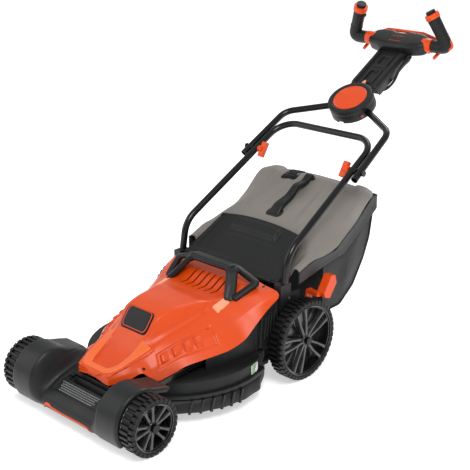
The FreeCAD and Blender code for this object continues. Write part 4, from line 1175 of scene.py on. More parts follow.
@dataclass
class Wheels:
    """Four moulded wheels: a tyre with cross lugs and a rim of paired spokes."""

    inner: float = 200.0
    outer: float = 244.0
    lug_height: float = 4.6
    tyre_depth: float = 13.0
    spokes: int = 5
    hub_radius: float = 15.0

    def build(self) -> None:
        """Build both sizes on both sides."""
        for axle in Axle:
            for side in (1, -1):
                self.tyre(axle, side)
                self.rim(axle, side)

    def label(self, axle: Axle, side: int) -> str:
        """Name of one wheel."""
        return f"{axle.value[0]}_{'right' if side > 0 else 'left'}"

    def tyre(self, axle: Axle, side: int) -> None:
        """Tyre with a row of full bars and a row of shoulder blocks.

        Args:
            axle: which wheel size.
            side: 1 right, -1 left.
        """
        _, radius, y, lugs, _ = axle.value
        x0, x1, low = self.inner, self.outer, radius - self.lug_height
        split = x1 - 13.0
        profile = [(x0 + 2, radius - 13, 0), (x0 + 0.4, radius - 11, 0), (x0, radius - 8, 0),
                   (x0, radius - 6, 0),
                   (x0 + 1, low, 0.55), (x0 + 3, low, 1), (x0 + 16, low, 1), (split - 0.8, low, 1),
                   (split - 0.7, low, 0), (split + 0.7, low, 0), (split + 0.8, low, -1), (x1 - 3, low, -1),
                   (x1 - 1, low, -0.55), (x1 - 1.6, radius - 6.5, -2), (x1 - 1.6, radius - 9.5, -2),
                   (x1 - 1.2, radius - 11.5, 0), (x1 - 2.4, radius - 13, 0)]
        steps = 10
        rows = []
        for n in range(lugs * steps):
            part = (n % steps) / steps
            angle = 2 * math.pi * n / (lugs * steps)
            main = 1.0 if 0.25 <= part <= 0.75 else 0.0
            block = 1.0 if part <= 0.2 or part >= 0.6 else 0.0
            row = []
            for x, r, kind in profile:
                if kind > 0:
                    r += self.lug_height * main * kind
                elif kind in (-1, -0.55):
                    r += self.lug_height * block * -kind
                elif kind == -2:
                    x += 1.6 * block
                row.append((side * x, y + r * math.cos(angle), radius + r * math.sin(angle)))
            rows.append(row)
        piece = grid_object(f"{self.label(axle, side)}_tread", np.array(rows), True, True, smooth_deg=28)
        tidy_normals(piece)
        dress(piece, TYRE_BLACK)
        mount(piece, f"{self.label(axle, side)}_wheel", f"{self.label(axle, side)}_tyre")

    def rim(self, axle: Axle, side: int) -> None:
        """Rim ring, paired spokes, hub and the web behind them.

        Args:
            axle: which wheel size.
            side: 1 right, -1 left.
        """
        _, radius, y, _, spread = axle.value
        x0, x1, seat = self.inner, self.outer, radius - self.tyre_depth
        centre = (y, radius)
        parts = [
            lathe("ring", [(side * x, r) for x, r in (
                (x1 - 2.4, seat + 0.4), (x1 - 0.9, seat - 0.6), (x1 - 0.4, seat - 2), (x1 - 1.2, seat - 3.4),
                (x1 - 4.5, seat - 4.2), (x1 - 5.5, seat - 6), (x1 - 16, seat - 7.5), (x0 + 8, seat - 8),
                (x0 + 6, seat - 6), (x0 + 4, seat - 1), (x0 + 4, seat + 0.4))], centre, 96),
            lathe("web", [(side * x, r) for x, r in (
                (x0 + 10, seat - 6), (x0 + 13, seat - 7), (x0 + 17, radius * 0.5), (x0 + 18, 12),
                (x0 + 15, 12), (x0 + 14, radius * 0.5), (x0 + 9, seat - 7))], centre, 64),
            lathe("hub", [(side * x, r) for x, r in (
                (x0 + 2, 7), (x0 + 2, 13), (x0 + 10, self.hub_radius), (x1 - 8, self.hub_radius),
                (x1 - 5.5, self.hub_radius - 1), (x1 - 4.6, self.hub_radius - 2.6), (x1 - 5.4, 10.5),
                (x1 - 7.5, 9.6), (x1 - 7.5, 7))], centre, 48)]
        for n in range(self.spokes):
            for sign in (-1, 1):
                parts.append(self.spoke(axle, side, n, sign, spread))
        rim = join(f"{self.label(axle, side)}_rim_moulding", parts)
        rim.data.materials.clear()
        dress(rim, RIM_GLOSS)
        mount(rim, f"{self.label(axle, side)}_wheel", f"{self.label(axle, side)}_rim")

    def spoke(self, axle: Axle, side: int, number: int, sign: int, spread: float) -> bpy.types.Object:
        """One rib of a spoke pair, with a chamfered face.

        Args:
            axle: which wheel size.
            side: 1 right, -1 left.
            number: which pair.
            sign: which rib of the pair.
            spread: half the pair's opening at the ring, in degrees.

        Returns:
            The rib.
        """
        _, radius, y, _, _ = axle.value
        base = math.radians(90 + 360 / self.spokes * number + 14)
        near, far = self.hub_radius - 2.0, radius - self.tyre_depth - 3.0
        a0, a1 = base + sign * math.radians(17), base + sign * math.radians(spread)
        face = self.outer - 6.0
        ends = []
        for share in (0.0, 0.5, 1.0):
            r = near + (far - near) * share
            a = a0 + (a1 - a0) * min(1.0, share * 1.25)
            x = face + 1.5 * share
            ends.append((side * x, y + r * math.cos(a), radius + r * math.sin(a)))
        sections = []
        for w in (7.6, 6.4, 9.6):
            sections.append([(-w / 2, -11), (-w / 2, -1.3), (-w / 2 + 1.3, 0), (w / 2 - 1.3, 0),
                             (w / 2, -1.3), (w / 2, -11)])
        return bar_between("rib", ends, sections, (side, 0, 0))


# ---------------------------------------------------------------- front cowl
@dataclass
class FrontCowl:
    """Black bumper cowl with a fender over each front wheel, a grab slot and a grip patch."""

    half: float = 198.0
    fender_radius: float = 78.0
    axle_height: float = 72.0
    middle: list = field(default_factory=lambda: [
        (-58, 26), (-65, 30), (-68, 40), (-62, 55), (-50, 66), (-28, 79), (-8, 89), (18, 97),
        (40, 103), (66, 110), (92, 117)])
    columns: int = 110
    slot_half: float = 74.0
    slot_y: tuple = (-6.0, 19.0)
    wall: float = 2.6

    def fender(self) -> np.ndarray:
        """Profile over a wheel, from the bumper's foot to the rear edge."""
        points = []
        r = self.fender_radius
        for deg in np.linspace(216.2, 61, 40):
            a = math.radians(deg)
            points.append((r * math.cos(a), self.axle_height + r * math.sin(a)))
        points += [(66, 133), (92, 125)]
        return np.array(points)

    def surface(self) -> np.ndarray:
        """Grid of the outer skin from the left fender's side to the right one's."""
        mid = soft_polyline(np.array(self.middle, float), self.columns, 9.0)
        side = soft_polyline(self.fender(), self.columns, 4.0)
        xs = np.concatenate([np.linspace(0, 88, 45), np.linspace(90, 130, 27), np.linspace(132, 190, 24),
                             190 + 8 * np.sin(np.linspace(0.15, math.pi / 2, 7))])
        rows = []
        centre = np.array([0.0, self.axle_height])
        for x in xs:
            w = float(ease(x, 92, 128))
            line = mid * (1 - w) + side * w
            if x > 190:
                drop = 8 * (1 - math.sqrt(max(0.0, 1 - ((x - 190) / 8) ** 2)))
                out = line - centre
                line = centre + out * (1 - drop / np.linalg.norm(out, axis=1))[:, None]
            rows.append(np.column_stack([np.full(len(line), x), line]))
        last = rows[-1].copy()
        out = last[:, 1:] - centre
        last[:, 1:] = centre + out * 0.93
        rows.append(last)
        right = np.array(rows)
        y, x = right[..., 1], right[..., 0]
        dish = (1 - ease(x, 78, 86)) * ease(y, -42, -38) * (1 - ease(y, 22, 27))
        right[..., 2] -= 2.6 * dish
        line = np.exp(-((x - 104 - 0.10 * (y + 60)) / 1.3) ** 2) * ease(y, -66, -50) * (1 - ease(y, 50, 70))
        right[..., 2] -= 0.9 * line
        left = right[1:][::-1].copy()
        left[..., 0] *= -1
        return np.concatenate([left, right])

    def height(self, grid: np.ndarray, x: float, z: float) -> float:
        """How far forward the skin is at x and z, on its front face."""
        row = grid[int(np.argmin(np.abs(grid[:, 0, 0] - x)))]
        front = row[:int(np.argmax(row[:, 2] > 80)) or None]
        return float(np.interp(z, front[:, 2], front[:, 1]))

    def build(self) -> None:
        """Build the cowl, its tray, grip dots and trim."""
        grid = self.surface()
        cowl = grid_object("cowl_skin", grid, smooth_deg=45)
        thicken(cowl, self.wall)
        tidy_normals(cowl)
        settle(cowl)
        carve(cowl, self.rounded_block("slot", (-self.slot_half, self.slot_half), self.slot_y, (50, 140), 9))
        carve(cowl, self.hood_room())
        cowl.data.set_sharp_from_angle(angle=math.radians(40))
        tray = self.pocket()
        # near-black pocket and web: painted shade inside the grab slot
        dress(tray, SHADOW_BLACK)
        dress(cowl, PP_SATIN)
        mount(cowl, "deck", "front_cowl")
        mount(tray, "deck")
        self.dots(grid)
        self.trim(grid)

    def pocket(self) -> bpy.types.Object:
        """Finger pocket under the grab slot, with a closing web under the hood's nose, both black as painted
        shade.
        """
        middle = sum(self.slot_y) / 2
        wide, deep = self.slot_half * 2 + 2, self.slot_y[1] - self.slot_y[0] + 2
        rows = []
        for scale, z in ((1.0, 88), (1.0, 66), (0.97, 61), (0.6, 59.5), (0.03, 59.5)):
            rows.append([(a * scale, middle + b * scale, z) for a, b in rounded_box(wide, deep, 9, 6)])
        made = grid_object("pocket", np.array(rows), wrap_columns=True, caps=False)
        web = [[(x, y, z) for x in np.linspace(-116, 116, 30)]
               for y, z in ((19, 80), (30, 84), (60, 92), (94, 99))]
        thicken(made, -1.5)
        floor = grid_object("web", np.array(web))
        thicken(floor, 1.5)
        return join("slot_pocket", [made, floor])

    def rounded_block(self, name: str, xs: tuple, ys: tuple, zs: tuple, corner: float) -> bpy.types.Object:
        """Upright block with rounded corners.

        Args:
            name: piece name.
            xs: low and high x.
            ys: low and high y.
            zs: low and high z.
            corner: corner radius.

        Returns:
            The block.
        """
        work = bmesh.new()
        bmesh.ops.create_cube(work, size=1.0)
        bmesh.ops.scale(work, vec=((xs[1] - xs[0]) * MM, (ys[1] - ys[0]) * MM, (zs[1] - zs[0]) * MM),
                        verts=work.verts)
        upright = [e for e in work.edges if abs((e.verts[0].co - e.verts[1].co).z) > 1e-4]
        bmesh.ops.bevel(work, geom=upright, offset=corner * MM, segments=6, affect="EDGES")
        middle = SITE.points([sum(xs) / 2, sum(ys) / 2, sum(zs) / 2])
        bmesh.ops.translate(work, vec=Vector(middle), verts=work.verts)
        mesh = bpy.data.meshes.new(name)
        work.to_mesh(mesh)
        work.free()
        made = bpy.data.objects.new(name, mesh)
        bpy.context.scene.collection.objects.link(made)
        return made

    def hood_room(self) -> bpy.types.Object:
        """Space that the hood's nose takes out of the cowl."""
        rows = []
        for y, x in ((25, 58), (62, 85), (88, 103), (110, 119)):
            rows.append([(-x, y, 60), (x, y, 60), (x, y, 200), (-x, y, 200)])
        made = grid_object("hood_room", np.array(rows, float), False, True, caps=True)
        tidy_normals(made)
        return made

    def dots(self, grid: np.ndarray) -> None:
        """Raised pale grip dots in front of the slot.

        Args:
            grid: the cowl's skin.
        """
        verts, faces = [], []
        middle = grid[len(grid) // 2]
        for row in range(5):
            y = -13.5 - 5.2 * row
            reach = 71 - 2.2 * row
            z = float(np.interp(y, middle[:, 1][8:], middle[:, 2][8:]))
            z2 = float(np.interp(y - 1, middle[:, 1][8:], middle[:, 2][8:]))
            slope = math.atan2(z - z2, 1.0)
            count = int(reach * 2 / 5.6)
            for n in range(count):
                x = -reach + 5.6 * n + (2.8 if row % 2 else 0)
                start = len(verts)
                for lift, r in ((0.05, 1.5), (0.7, 1.1)):
                    for k in range(8):
                        a = 2 * math.pi * k / 8
                        dy, dz = r * math.sin(a) * math.cos(slope), r * math.sin(a) * math.sin(slope)
                        verts.append((x + r * math.cos(a), y + dy - lift * math.sin(slope),
                                      z + dz + lift * math.cos(slope)))
                for k in range(8):
                    faces.append([start + k, start + (k + 1) % 8, start + 8 + (k + 1) % 8, start + 8 + k])
                faces.append([start + 8 + k for k in range(8)])
        dots = new_object("grip_dots", SITE.points(verts), faces)
        dress(dots, GRIP_DOT)
        mount(dots, "deck")

    def trim(self, grid: np.ndarray) -> None:
        """Orange line along the bumper's foot, turned down at its ends.

        Args:
            grid: the cowl's skin.
        """
        line = [(-89, 27, 3), (-82, 38, 3), (-76, 42, 4.5), (-62, 42, 4.5), (-56, 39, 2.6), (-20, 37.5, 2.4),
                (30, 37.5, 2.4), (72, 38, 2.4), (80, 37, 2.4), (86, 31, 2.4), (90, 25, 2.2)]
        table = soft_polyline(np.array(line, float), 90, 3.0)
        rows = []
        for x, z, wide in table:
            y = self.height(grid, x, z)
            rows.append([(x, y + 0.6, z - wide), (x, y - 1.6, z - wide * 0.6), (x, y - 1.6, z + wide * 0.6),
                         (x, y + 0.6, z + wide)])
        trim = grid_object("bumper_trim", np.array(rows), False, True, caps=True, smooth_deg=50)
        tidy_normals(trim)
        dress(trim, ABS_ORANGE_TRIM)
        mount(trim, "deck", "cowl_trim")


# ---------------------------------------------------------------- carry handle and flap
def surface_height(grid: np.ndarray, x: np.ndarray, y: np.ndarray) -> np.ndarray:
    """Height of a half surface above a point.

    Args:
        grid: right half of a surface, rows of constant y from the edge to the centre line.
        x: distances from the centre plane.
        y: stations.

    Returns:
        The heights in millimetres.
    """
    ys = grid[:, :, 1].mean(axis=1)
    x, y = np.abs(np.asarray(x, float)), np.asarray(y, float)
    made = np.empty(x.shape)
    for i in np.ndindex(x.shape):
        k = int(np.clip(np.searchsorted(ys, y[i]) - 1, 0, len(ys) - 2))
        t = float(np.clip((y[i] - ys[k]) / (ys[k + 1] - ys[k]), 0, 1))
        rows = [np.interp(x[i], grid[n, ::-1, 0], grid[n, ::-1, 2]) for n in (k, k + 1)]
        made[i] = rows[0] * (1 - t) + rows[1] * t
    return made


def plate_on(name: str, grid: np.ndarray, outline: np.ndarray, centre: tuple,
             rises: list) -> bpy.types.Object:
    """Plate that follows a surface, built of shrinking outlines.

    Args:
        name: the piece's name.
        grid: right half of the surface beneath.
        outline: closed loop of (x, y) round the centre.
        centre: its middle as (x, y).
        rises: (scale of the outline, height over the surface) from rim to middle.

    Returns:
        The object.
    """
    rows = []
    for scale, rise in rises:
        flat = outline * scale + np.array(centre)
        z = surface_height(grid, flat[:, 0], flat[:, 1]) + rise
        rows.append(np.column_stack([flat, z]))
    return grid_object(name, np.array(rows), wrap_columns=True, caps=True, smooth_deg=50)


@dataclass
class CarryHandle:
    """Carry handle over the vents: flat crossbar, two legs and a triangular brace each side."""

    bar_half: float = 74.0
    bar_y: float = 433.0
    bar_z: float = 291.5
    foot: tuple = (112, 377, 233)
    brace_corner: tuple = (141, 447, 266)

    def build(self) -> None:
        """Build the handle with its label plate and foot strips."""
        ends = [(-self.bar_half, self.bar_y, self.bar_z), (self.bar_half, self.bar_y, self.bar_z)]
        bar = sweep("bar", ends, rounded_box(35, 19, 6), up=(0, 0.12, 1), ends_mm=5)
        x, y, z = self.foot
        leg_path = [(self.bar_half - 10, 431, 291), (self.bar_half + 4, 422, 283), (x, y, z - 6)]
        legs = both(sweep, "leg", leg_path, rounded_box(30, 16, 5), up=(0.75, -0.45, 0.5), ends_mm=3,
                    corner_mm=10)
        corner = self.brace_corner
        braces = both(sweep, "brace", [(self.bar_half - 14, 443, 291), (self.bar_half + 4, 445, 288), corner,
                                       (x + 8, y + 6, z)],
                      rounded_box(18, 15, 4.5), up=(0.2, 0, 1), ends_mm=4, corner_mm=7)
        handle = join("carry_handle_moulding", [bar] + legs + braces)
        melt(handle, 1.5, 3)
        dress(handle, NYLON_BLACK)
        mount(handle, "deck", "carry_handle")
        self.label()
        self.strips()

    def label(self) -> None:
        """Plain long label plate with an orange frame."""
        outer, inner = rounded_box(122, 19, 9.4, 8), rounded_box(116.5, 13.5, 6.7, 8)
        rows = []
        top = self.bar_z + 8.8
        for loop, z in ((outer, top - 0.4), (outer * 0.995, top + 0.5), (inner * 1.005, top + 0.5),
                        (inner, top)):
            rows.append([(a, self.bar_y + b, z - 0.12 * b) for a, b in loop])
        frame = grid_object("handle_label_frame", np.array(rows), wrap_columns=True)
        dress(frame, ABS_ORANGE_TRIM)
        mount(frame, "deck")
        field_rows = [[(a * s, self.bar_y + b * s, top + h - 0.12 * b * s) for a, b in inner]
                      for s, h in ((1.0, 0.1), (0.6, 0.2), (0.05, 0.2))]
        plate = grid_object("handle_label_field", np.array(field_rows), wrap_columns=True, caps=True)
        dress(plate, GLOSS_BLACK)
        mount(plate, "deck")

    def strips(self) -> None:
        """Pale strips down the front of both legs."""
        x, y, z = self.foot
        parts = both(sweep, "strip", [(self.bar_half + 10, 411, 279), (x - 3, y - 6.5, z + 6)],
                     rounded_box(9, 3, 1.4), up=(0.6, -0.6, 0.5), ends_mm=1.2, corner_mm=0)
        strips = join("handle_foot_strips", parts)
        dress(strips, RIM_GREY)
        mount(strips, "deck")


@dataclass
class RearFlap:
    """Deflector flap: crowned plate with rounded rear corners, a raised pad and turned-down sides."""

    front: tuple = (494.0, 262.5)
    rear: tuple = (621.0, 347.0)
    front_half: float = 170.0
    rear_half: float = 146.0
    crown: float = 9.0
    skirt: float = 13.0
    rows: int = 84
    columns: int = 128

    def spot(self, u: float, v: float) -> tuple[float, float, float]:
        """Point of the top face; u runs across from -1 to 1 and v rearwards from 0 to 1.

        Args:
            u: share across, from -1 to 1.
            v: share rearwards, from 0 to 1.

        Returns:
            The point as x, y and z.
        """
        half = self.front_half + (self.rear_half - self.front_half) * v
        reach = 1.0 - 0.022 * abs(u) ** 3
        y = self.front[0] + (self.rear[0] - self.front[0]) * v * reach
        z = self.front[1] + (self.rear[1] - self.front[1]) * v * reach
        z += self.crown * (1 - u * u) * float(ease(v, 0.0, 1.0)) + 2.5 * (1 - u * u)
        return half * u, y, z

    def lift(self, x: float, v: float) -> float:
        """Height of the pressed features over the plate.

        Args:
            x: distance from the centre plane.
            v: share rearwards, from 0 to 1.

        Returns:
            The height in millimetres.
        """
        pad = (1 - ease(abs(x), 76, 82)) * ease(v, 0.66, 0.70) * (1 - ease(v, 0.90, 0.94))
        groove = (1 - ease(abs(x), 68, 70)) * ease(v, 0.725, 0.735) * (1 - ease(v, 0.865, 0.875))
        border = ease(abs(x), 148 - 18 * v, 151 - 18 * v) * (1 - ease(abs(x), 154 - 18 * v, 157 - 18 * v))
        step = ease(v, 0.10, 0.13)
        panel = (1 - ease(abs(x), 112, 114)) * ease(v, 0.20, 0.215) * (1 - ease(v, 0.58, 0.595))
        return float(9.0 * pad - 1.6 * groove + 1.4 * border * ease(v, 0.05, 0.1) + 1.2 * step - 0.9 * panel)

    def build(self) -> None:
        """Build the flap."""
        us = np.sin(np.linspace(-1, 1, self.columns) * math.pi / 2 * 0.98) / math.sin(math.pi / 2 * 0.98)
        us = 0.4 * us + 0.6 * np.linspace(-1, 1, self.columns)
        grid = []
        for v in np.linspace(0, 1, self.rows):
            row = []
            for u in us:
                x, y, z = self.spot(u, v)
                z += self.lift(x, v)
                corner = max(0.0, abs(u) - 0.90) / 0.10
                late = max(0.0, v - 0.88) / 0.12
                pull = 12.0 * max(0.0, math.hypot(corner, late) - 1.0)
                row.append((x - math.copysign(pull * corner, u), y - pull * late, z))
            first, last = row[0], row[-1]
            down = self.skirt * (0.35 + 0.65 * (1 - v))
            row = [(first[0] - 1, first[1], first[2] - down), (first[0] - 0.8, first[1], first[2] - 2)] + row
            row += [(last[0] + 0.8, last[1], last[2] - 2), (last[0] + 1, last[1], last[2] - down)]
            grid.append(row)
        grid = np.array(grid)
        lip = grid[-1].copy()
        lip[:, 1] += 1.2
        lip[:, 2] -= 7
        grid = np.concatenate([grid, lip[None]])
        flap = grid_object("rear_flap_moulding", grid, smooth_deg=48)
        thicken(flap, 3.0)
        settle(flap)
        barrels = both(sweep, "barrel", [(62, 492, 258), (150, 492, 258)], rounded_box(13, 13, 6.4, 6),
                       ends_mm=1.0, corner_mm=0)
        flap = join("rear_flap_moulding", [flap] + barrels)
        dress(flap, PP_BLACK)
        mount(flap, "flap", "rear_flap")


# ---------------------------------------------------------------- grass bag
@dataclass
class GrassBag:
    """Grass bag: moulded lid, band, sagging net walls with piping, handle and window."""

    lid_rows: list = field(default_factory=lambda: [
        (542, 202, 286, 180, 290, 168, 262), (600, 203, 304, 186, 316, 168, 312),
        (622, 203, 303, 186, 322, 152, 331), (642, 203, 304, 184, 330, 148, 350),
        (700, 203, 319, 176, 350, 142, 371), (766, 203, 361, 166, 386, 136, 394),
        (840, 202, 420, 152, 432, 130, 427), (872, 180, 426, 140, 436, 124, 430)])
    side: tuple = ((652, 134), (728, 136), (784, 178), (826, 244), (850, 300), (866, 396),
                   (790, 340), (722, 288), (668, 281), (652, 278))
    band_low: tuple = ((540, 252.5), (668, 280.5), (722, 287.5), (800, 338), (868, 386))
    band_high: tuple = ((540, 284), (599, 302), (641, 302), (688, 308), (773, 364), (840, 418), (868, 420))
    half: float = 188.5
    sag: float = 6.0
    bulge: float = 7.0

    def lid_surface(self) -> np.ndarray:
        """Right half of the lid, from its edge to the centre line, with soft folds."""
        ys = np.concatenate([np.arange(542, 866, 3.0), [867, 869.5, 871.2, 872]])
        rows = smooth_table(self.lid_rows, ys)
        grid = []
        for y, (xe, ze, xr, zr, xt, zt) in zip(ys, rows):
            crown = 5.0 + 6.0 * float(ease(y, 640, 720)) * (1 - float(ease(y, 830, 870)))
            points = np.array([(xe, ze - 3), (xe, ze), ((xe + xr) / 2 + 1.5, (ze + zr) / 2 + 3), (xr, zr),
                               ((xr + xt) / 2, (zr + zt) / 2 + 1.5), (xt, zt),
                               (xt * 0.5, zt + crown * 0.75), (0, zt + crown)])
            line = soft_polyline(points, 90, 5.0)
            line[-1, 0] = 0.0
            x = line[:, 0]
            fold = 2.6 * np.exp(-((x - (96 - 0.22 * (y - 640))) / 11.0) ** 2) * ease(y, 640, 680)
            fold -= 2.2 * np.exp(-((x - (72 - 0.10 * (y - 640))) / 9.0) ** 2) * ease(y, 660, 700)
            fold += 1.8 * np.exp(-((x - (118 + 0.03 * (y - 640))) / 7.0) ** 2) * (1 - ease(y, 800, 850))
            fold *= 1 - ease(y, 830, 862)
            drop = 14.0 * (1 - math.sqrt(max(0.0, 1 - (max(0.0, y - 862) / 10.2) ** 2)))
            grid.append(np.column_stack([x, np.full(len(x), y), line[:, 1] + fold - drop]))
        return np.array(grid)

    def build(self) -> None:
        """Build the bag."""
        lid_half = self.lid_surface()
        self.lid(lid_half)
        self.band()
        self.walls()
        self.handle(lid_half)
        self.window(lid_half)

    def lid(self, half: np.ndarray) -> None:
        """Lid moulding with its turned-down rear wall.

        Args:
            half: right half of the lid.
        """
        last = half[-1].copy()
        wall = [last + np.array([0, 0.6, -3]), last * np.array([1, 1, 0]) + np.array([0, 0.6, 402])]
        whole = np.concatenate([half, np.array(wall)])
        mirrored = whole[:, :-1][:, ::-1].copy()
        mirrored[..., 0] *= -1
        sheet = np.concatenate([whole, mirrored], axis=1)
        lid = grid_object("bag_lid_moulding", sheet[:, ::-1], smooth_deg=50)
        thicken(lid, 2.5)
        settle(lid)
        dress(lid, LID_GREY)
        mount(lid, "bag", "bag_lid")

    def band(self) -> None:
        """Dark band round the sides and the back, with rolled edges."""
        route = [(204, y) for y in np.arange(540, 856, 4.0)]
        quarter = np.linspace(0, math.pi / 2, 7)
        route += [(204 - 12 * (1 - math.cos(a)), 858 + 12 * math.sin(a)) for a in quarter]
        route += [(x, 870) for x in np.arange(186, -187, -8.0)]
        route += [(-204 + 12 * (1 - math.sin(a)), 858 + 12 * math.cos(a)) for a in quarter]
        route += [(-204, y) for y in np.arange(856, 539, -4.0)]
        line = np.array(route)
        ahead = np.gradient(line, axis=0)
        ahead /= np.linalg.norm(ahead, axis=1, keepdims=True)
        out = np.column_stack([ahead[:, 1], -ahead[:, 0]])
        low = np.interp(line[:, 1], *zip(*self.band_low))
        high = np.interp(line[:, 1], *zip(*self.band_high))
        rows = []
        for (x, y), n, z0, z1 in zip(line, out, low, high):
            lip = 3.5 + 17.0 * float(ease(y, 770, 800))
            section = ((-lip, z0 + 1.4), (-1.5, z0), (0.2, z0 + 0.6), (0.8, z0 + 3), (0.3, z0 + 6),
                       (0.3, z1 - 6), (0.9, z1 - 3.5), (0.4, z1 - 0.6), (-1.5, z1), (-3.5, z1 - 1))
            rows.append([(x + n[0] * d, y + n[1] * d, z) for d, z in section])
        band = grid_object("bag_band_moulding", np.array(rows), wrap_columns=True, caps=True, smooth_deg=50)
        tidy_normals(band)
        dress(band, RIM_GREY)
        mount(band, "bag", "bag_rim")

    def walls(self) -> None:
        """Net walls: a sagging loft closed by two bulging side panels."""
        closed = np.array(list(self.side) + [self.side[0]], float)
        loop = soft_polyline(closed, 150, 9.0)[:-1]
        centre = loop.mean(axis=0)
        rows = []

        def ring(x: float, scale: float) -> np.ndarray:
            """Section of the net at x.

            Args:
                x: distance from the centre plane.
                scale: size against the full section.

            Returns:
                The section's points.
            """
            flat = centre + (loop - centre) * scale
            low = 1 - ease(flat[:, 1], 150, 240)
            rear = ease(flat[:, 0], 760, 860)
            slack = math.cos(x / self.half * math.pi / 2) if abs(x) < self.half else 0.0
            ripple = 1.2 * np.sin(flat[:, 0] * 0.11 + x * 0.05) * slack
            return np.column_stack([np.full(len(flat), x), flat[:, 0] + 4.0 * slack * rear,
                                    flat[:, 1] - self.sag * slack * low + ripple * low])

        def panel(side: int, scale: float) -> np.ndarray:
            """Ring of a bulging side panel.

            Args:
                side: 1 right, -1 left.
                scale: size against the panel's edge.

            Returns:
                The ring's points.
            """
            made = ring(side * self.half, scale)
            y, z = made[:, 1], made[:, 2]
            slack = self.bulge * (1 - scale ** 2)
            crease = 1.6 * np.sin((y - z) * 0.06 + 0.8) * np.sin((y + z) * 0.021) * (1 - scale ** 4)
            keep = (1 - 0.75 * ease(z, 250, 330)) * (0.1 + 0.9 * ease(y, 715, 760))
            crease = crease * ease(y, 700, 750)
            made[:, 0] = side * (self.half + np.clip(slack * keep + crease, -2, self.bulge))
            return made

        scales = np.concatenate([[0.03, 0.15], np.linspace(0.25, 0.92, 9), [0.96, 0.985]])
        rows += [panel(-1, s) for s in scales]
        rows += [ring(x, 1.0) for x in np.linspace(-self.half, self.half, 33)]
        rows += [panel(1, s) for s in scales[::-1]]
        net = grid_object("bag_net", np.array(rows), wrap_columns=True, caps=True, smooth_deg=55)
        tidy_normals(net)
        dress(net, BAG_NET)
        mount(net, "bag", "bag_fabric")
        piping = []
        for side in (-1, 1):
            seam = ring(side * self.half, 1.0)
            seam = seam[(seam[:, 2] < 300) | (seam[:, 1] > 845)]
            start = int(np.argmax(np.linalg.norm(np.diff(seam, axis=0), axis=1)) + 1)
            seam = np.roll(seam, -start, axis=0)
            seam[:, 0] += side * 1.0
            piping.append(sweep("piping", seam, rounded_box(5.2, 5.2, 2.5, 3), up=(1, 0, 0), ends_mm=2,
                                step_mm=5, corner_mm=0))
        welt = join("bag_piping", piping)
        dress(welt, RUBBER_CORD)
        mount(welt, "bag")

    def handle(self, lid_half: np.ndarray) -> None:
        """Arched carrying handle, wide at its front foot.

        Args:
            lid_half: right half of the lid.
        """
        front = float(surface_height(lid_half, np.array([0.0]), np.array([672.0]))[0])
        rear = float(surface_height(lid_half, np.array([0.0]), np.array([822.0]))[0])
        path = [(0, 668, front - 6), (0, 690, front + 16), (0, 732, 400), (0, 762, 424), (0, 797, 427),
                (0, 820, rear + 12), (0, 824, rear - 6)]
        handle = sweep("bag_handle_moulding", path, rounded_box(30, 14, 6), up=(0, -0.5, 1), ends_mm=3,
                       corner_mm=16, swell=lambda t: (1.22 - 0.45 * float(ease(t, 0, 0.55)) + 0.25 * float(
                           ease(t, 0.85, 1)), 1.0))
        dress(handle, NYLON_BLACK)
        mount(handle, "bag", "bag_handle")
        foot = plate_on("bag_handle_foot", lid_half, rounded_box(52, 30, 12, 6), (0, 672),
                        [(1.0, -2), (1.0, 1.2), (0.9, 2.2), (0.5, 2.4), (0.03, 2.4)])
        dress(foot, NYLON_BLACK)
        mount(foot, "bag")

    def window(self, lid_half: np.ndarray) -> None:
        """Level window in its raised frame.

        Args:
            lid_half: right half of the lid.
        """
        outline = rounded_box(56, 54, 8, 5)
        frame = plate_on("bag_window_frame", lid_half, outline, (-72, 832),
                         [(1.0, -2), (1.0, 2.2), (0.95, 3.2), (0.84, 3.2), (0.80, 1.4), (0.4, 1.4),
                          (0.03, 1.4)])
        dress(frame, GLOSS_BLACK)
        mount(frame, "bag", "bag_window")
        bars = []
        for n in range(4):
            bars.append(plate_on("bar", lid_half, rounded_box(38, 4, 1.8, 3), (-72, 818 + 9.5 * n),
                                 [(1.0, 1.2), (0.96, 2.6), (0.03, 2.8)]))
        grille = join("bag_window_bars", bars)
        dress(grille, PP_BLACK)
        mount(grille, "bag")


# ---------------------------------------------------------------- hub, stem and head
HANDLE_UP = (0.0, -math.sin(HANDLE_SLOPE), math.cos(HANDLE_SLOPE))


def handle_grid(name: str, rows: Sequence | np.ndarray, **kwargs: Any) -> bpy.types.Object:
    """Object from a grid given in handle coordinates."""
    return grid_object(name, on_handle(np.asarray(rows, float)), **kwargs)


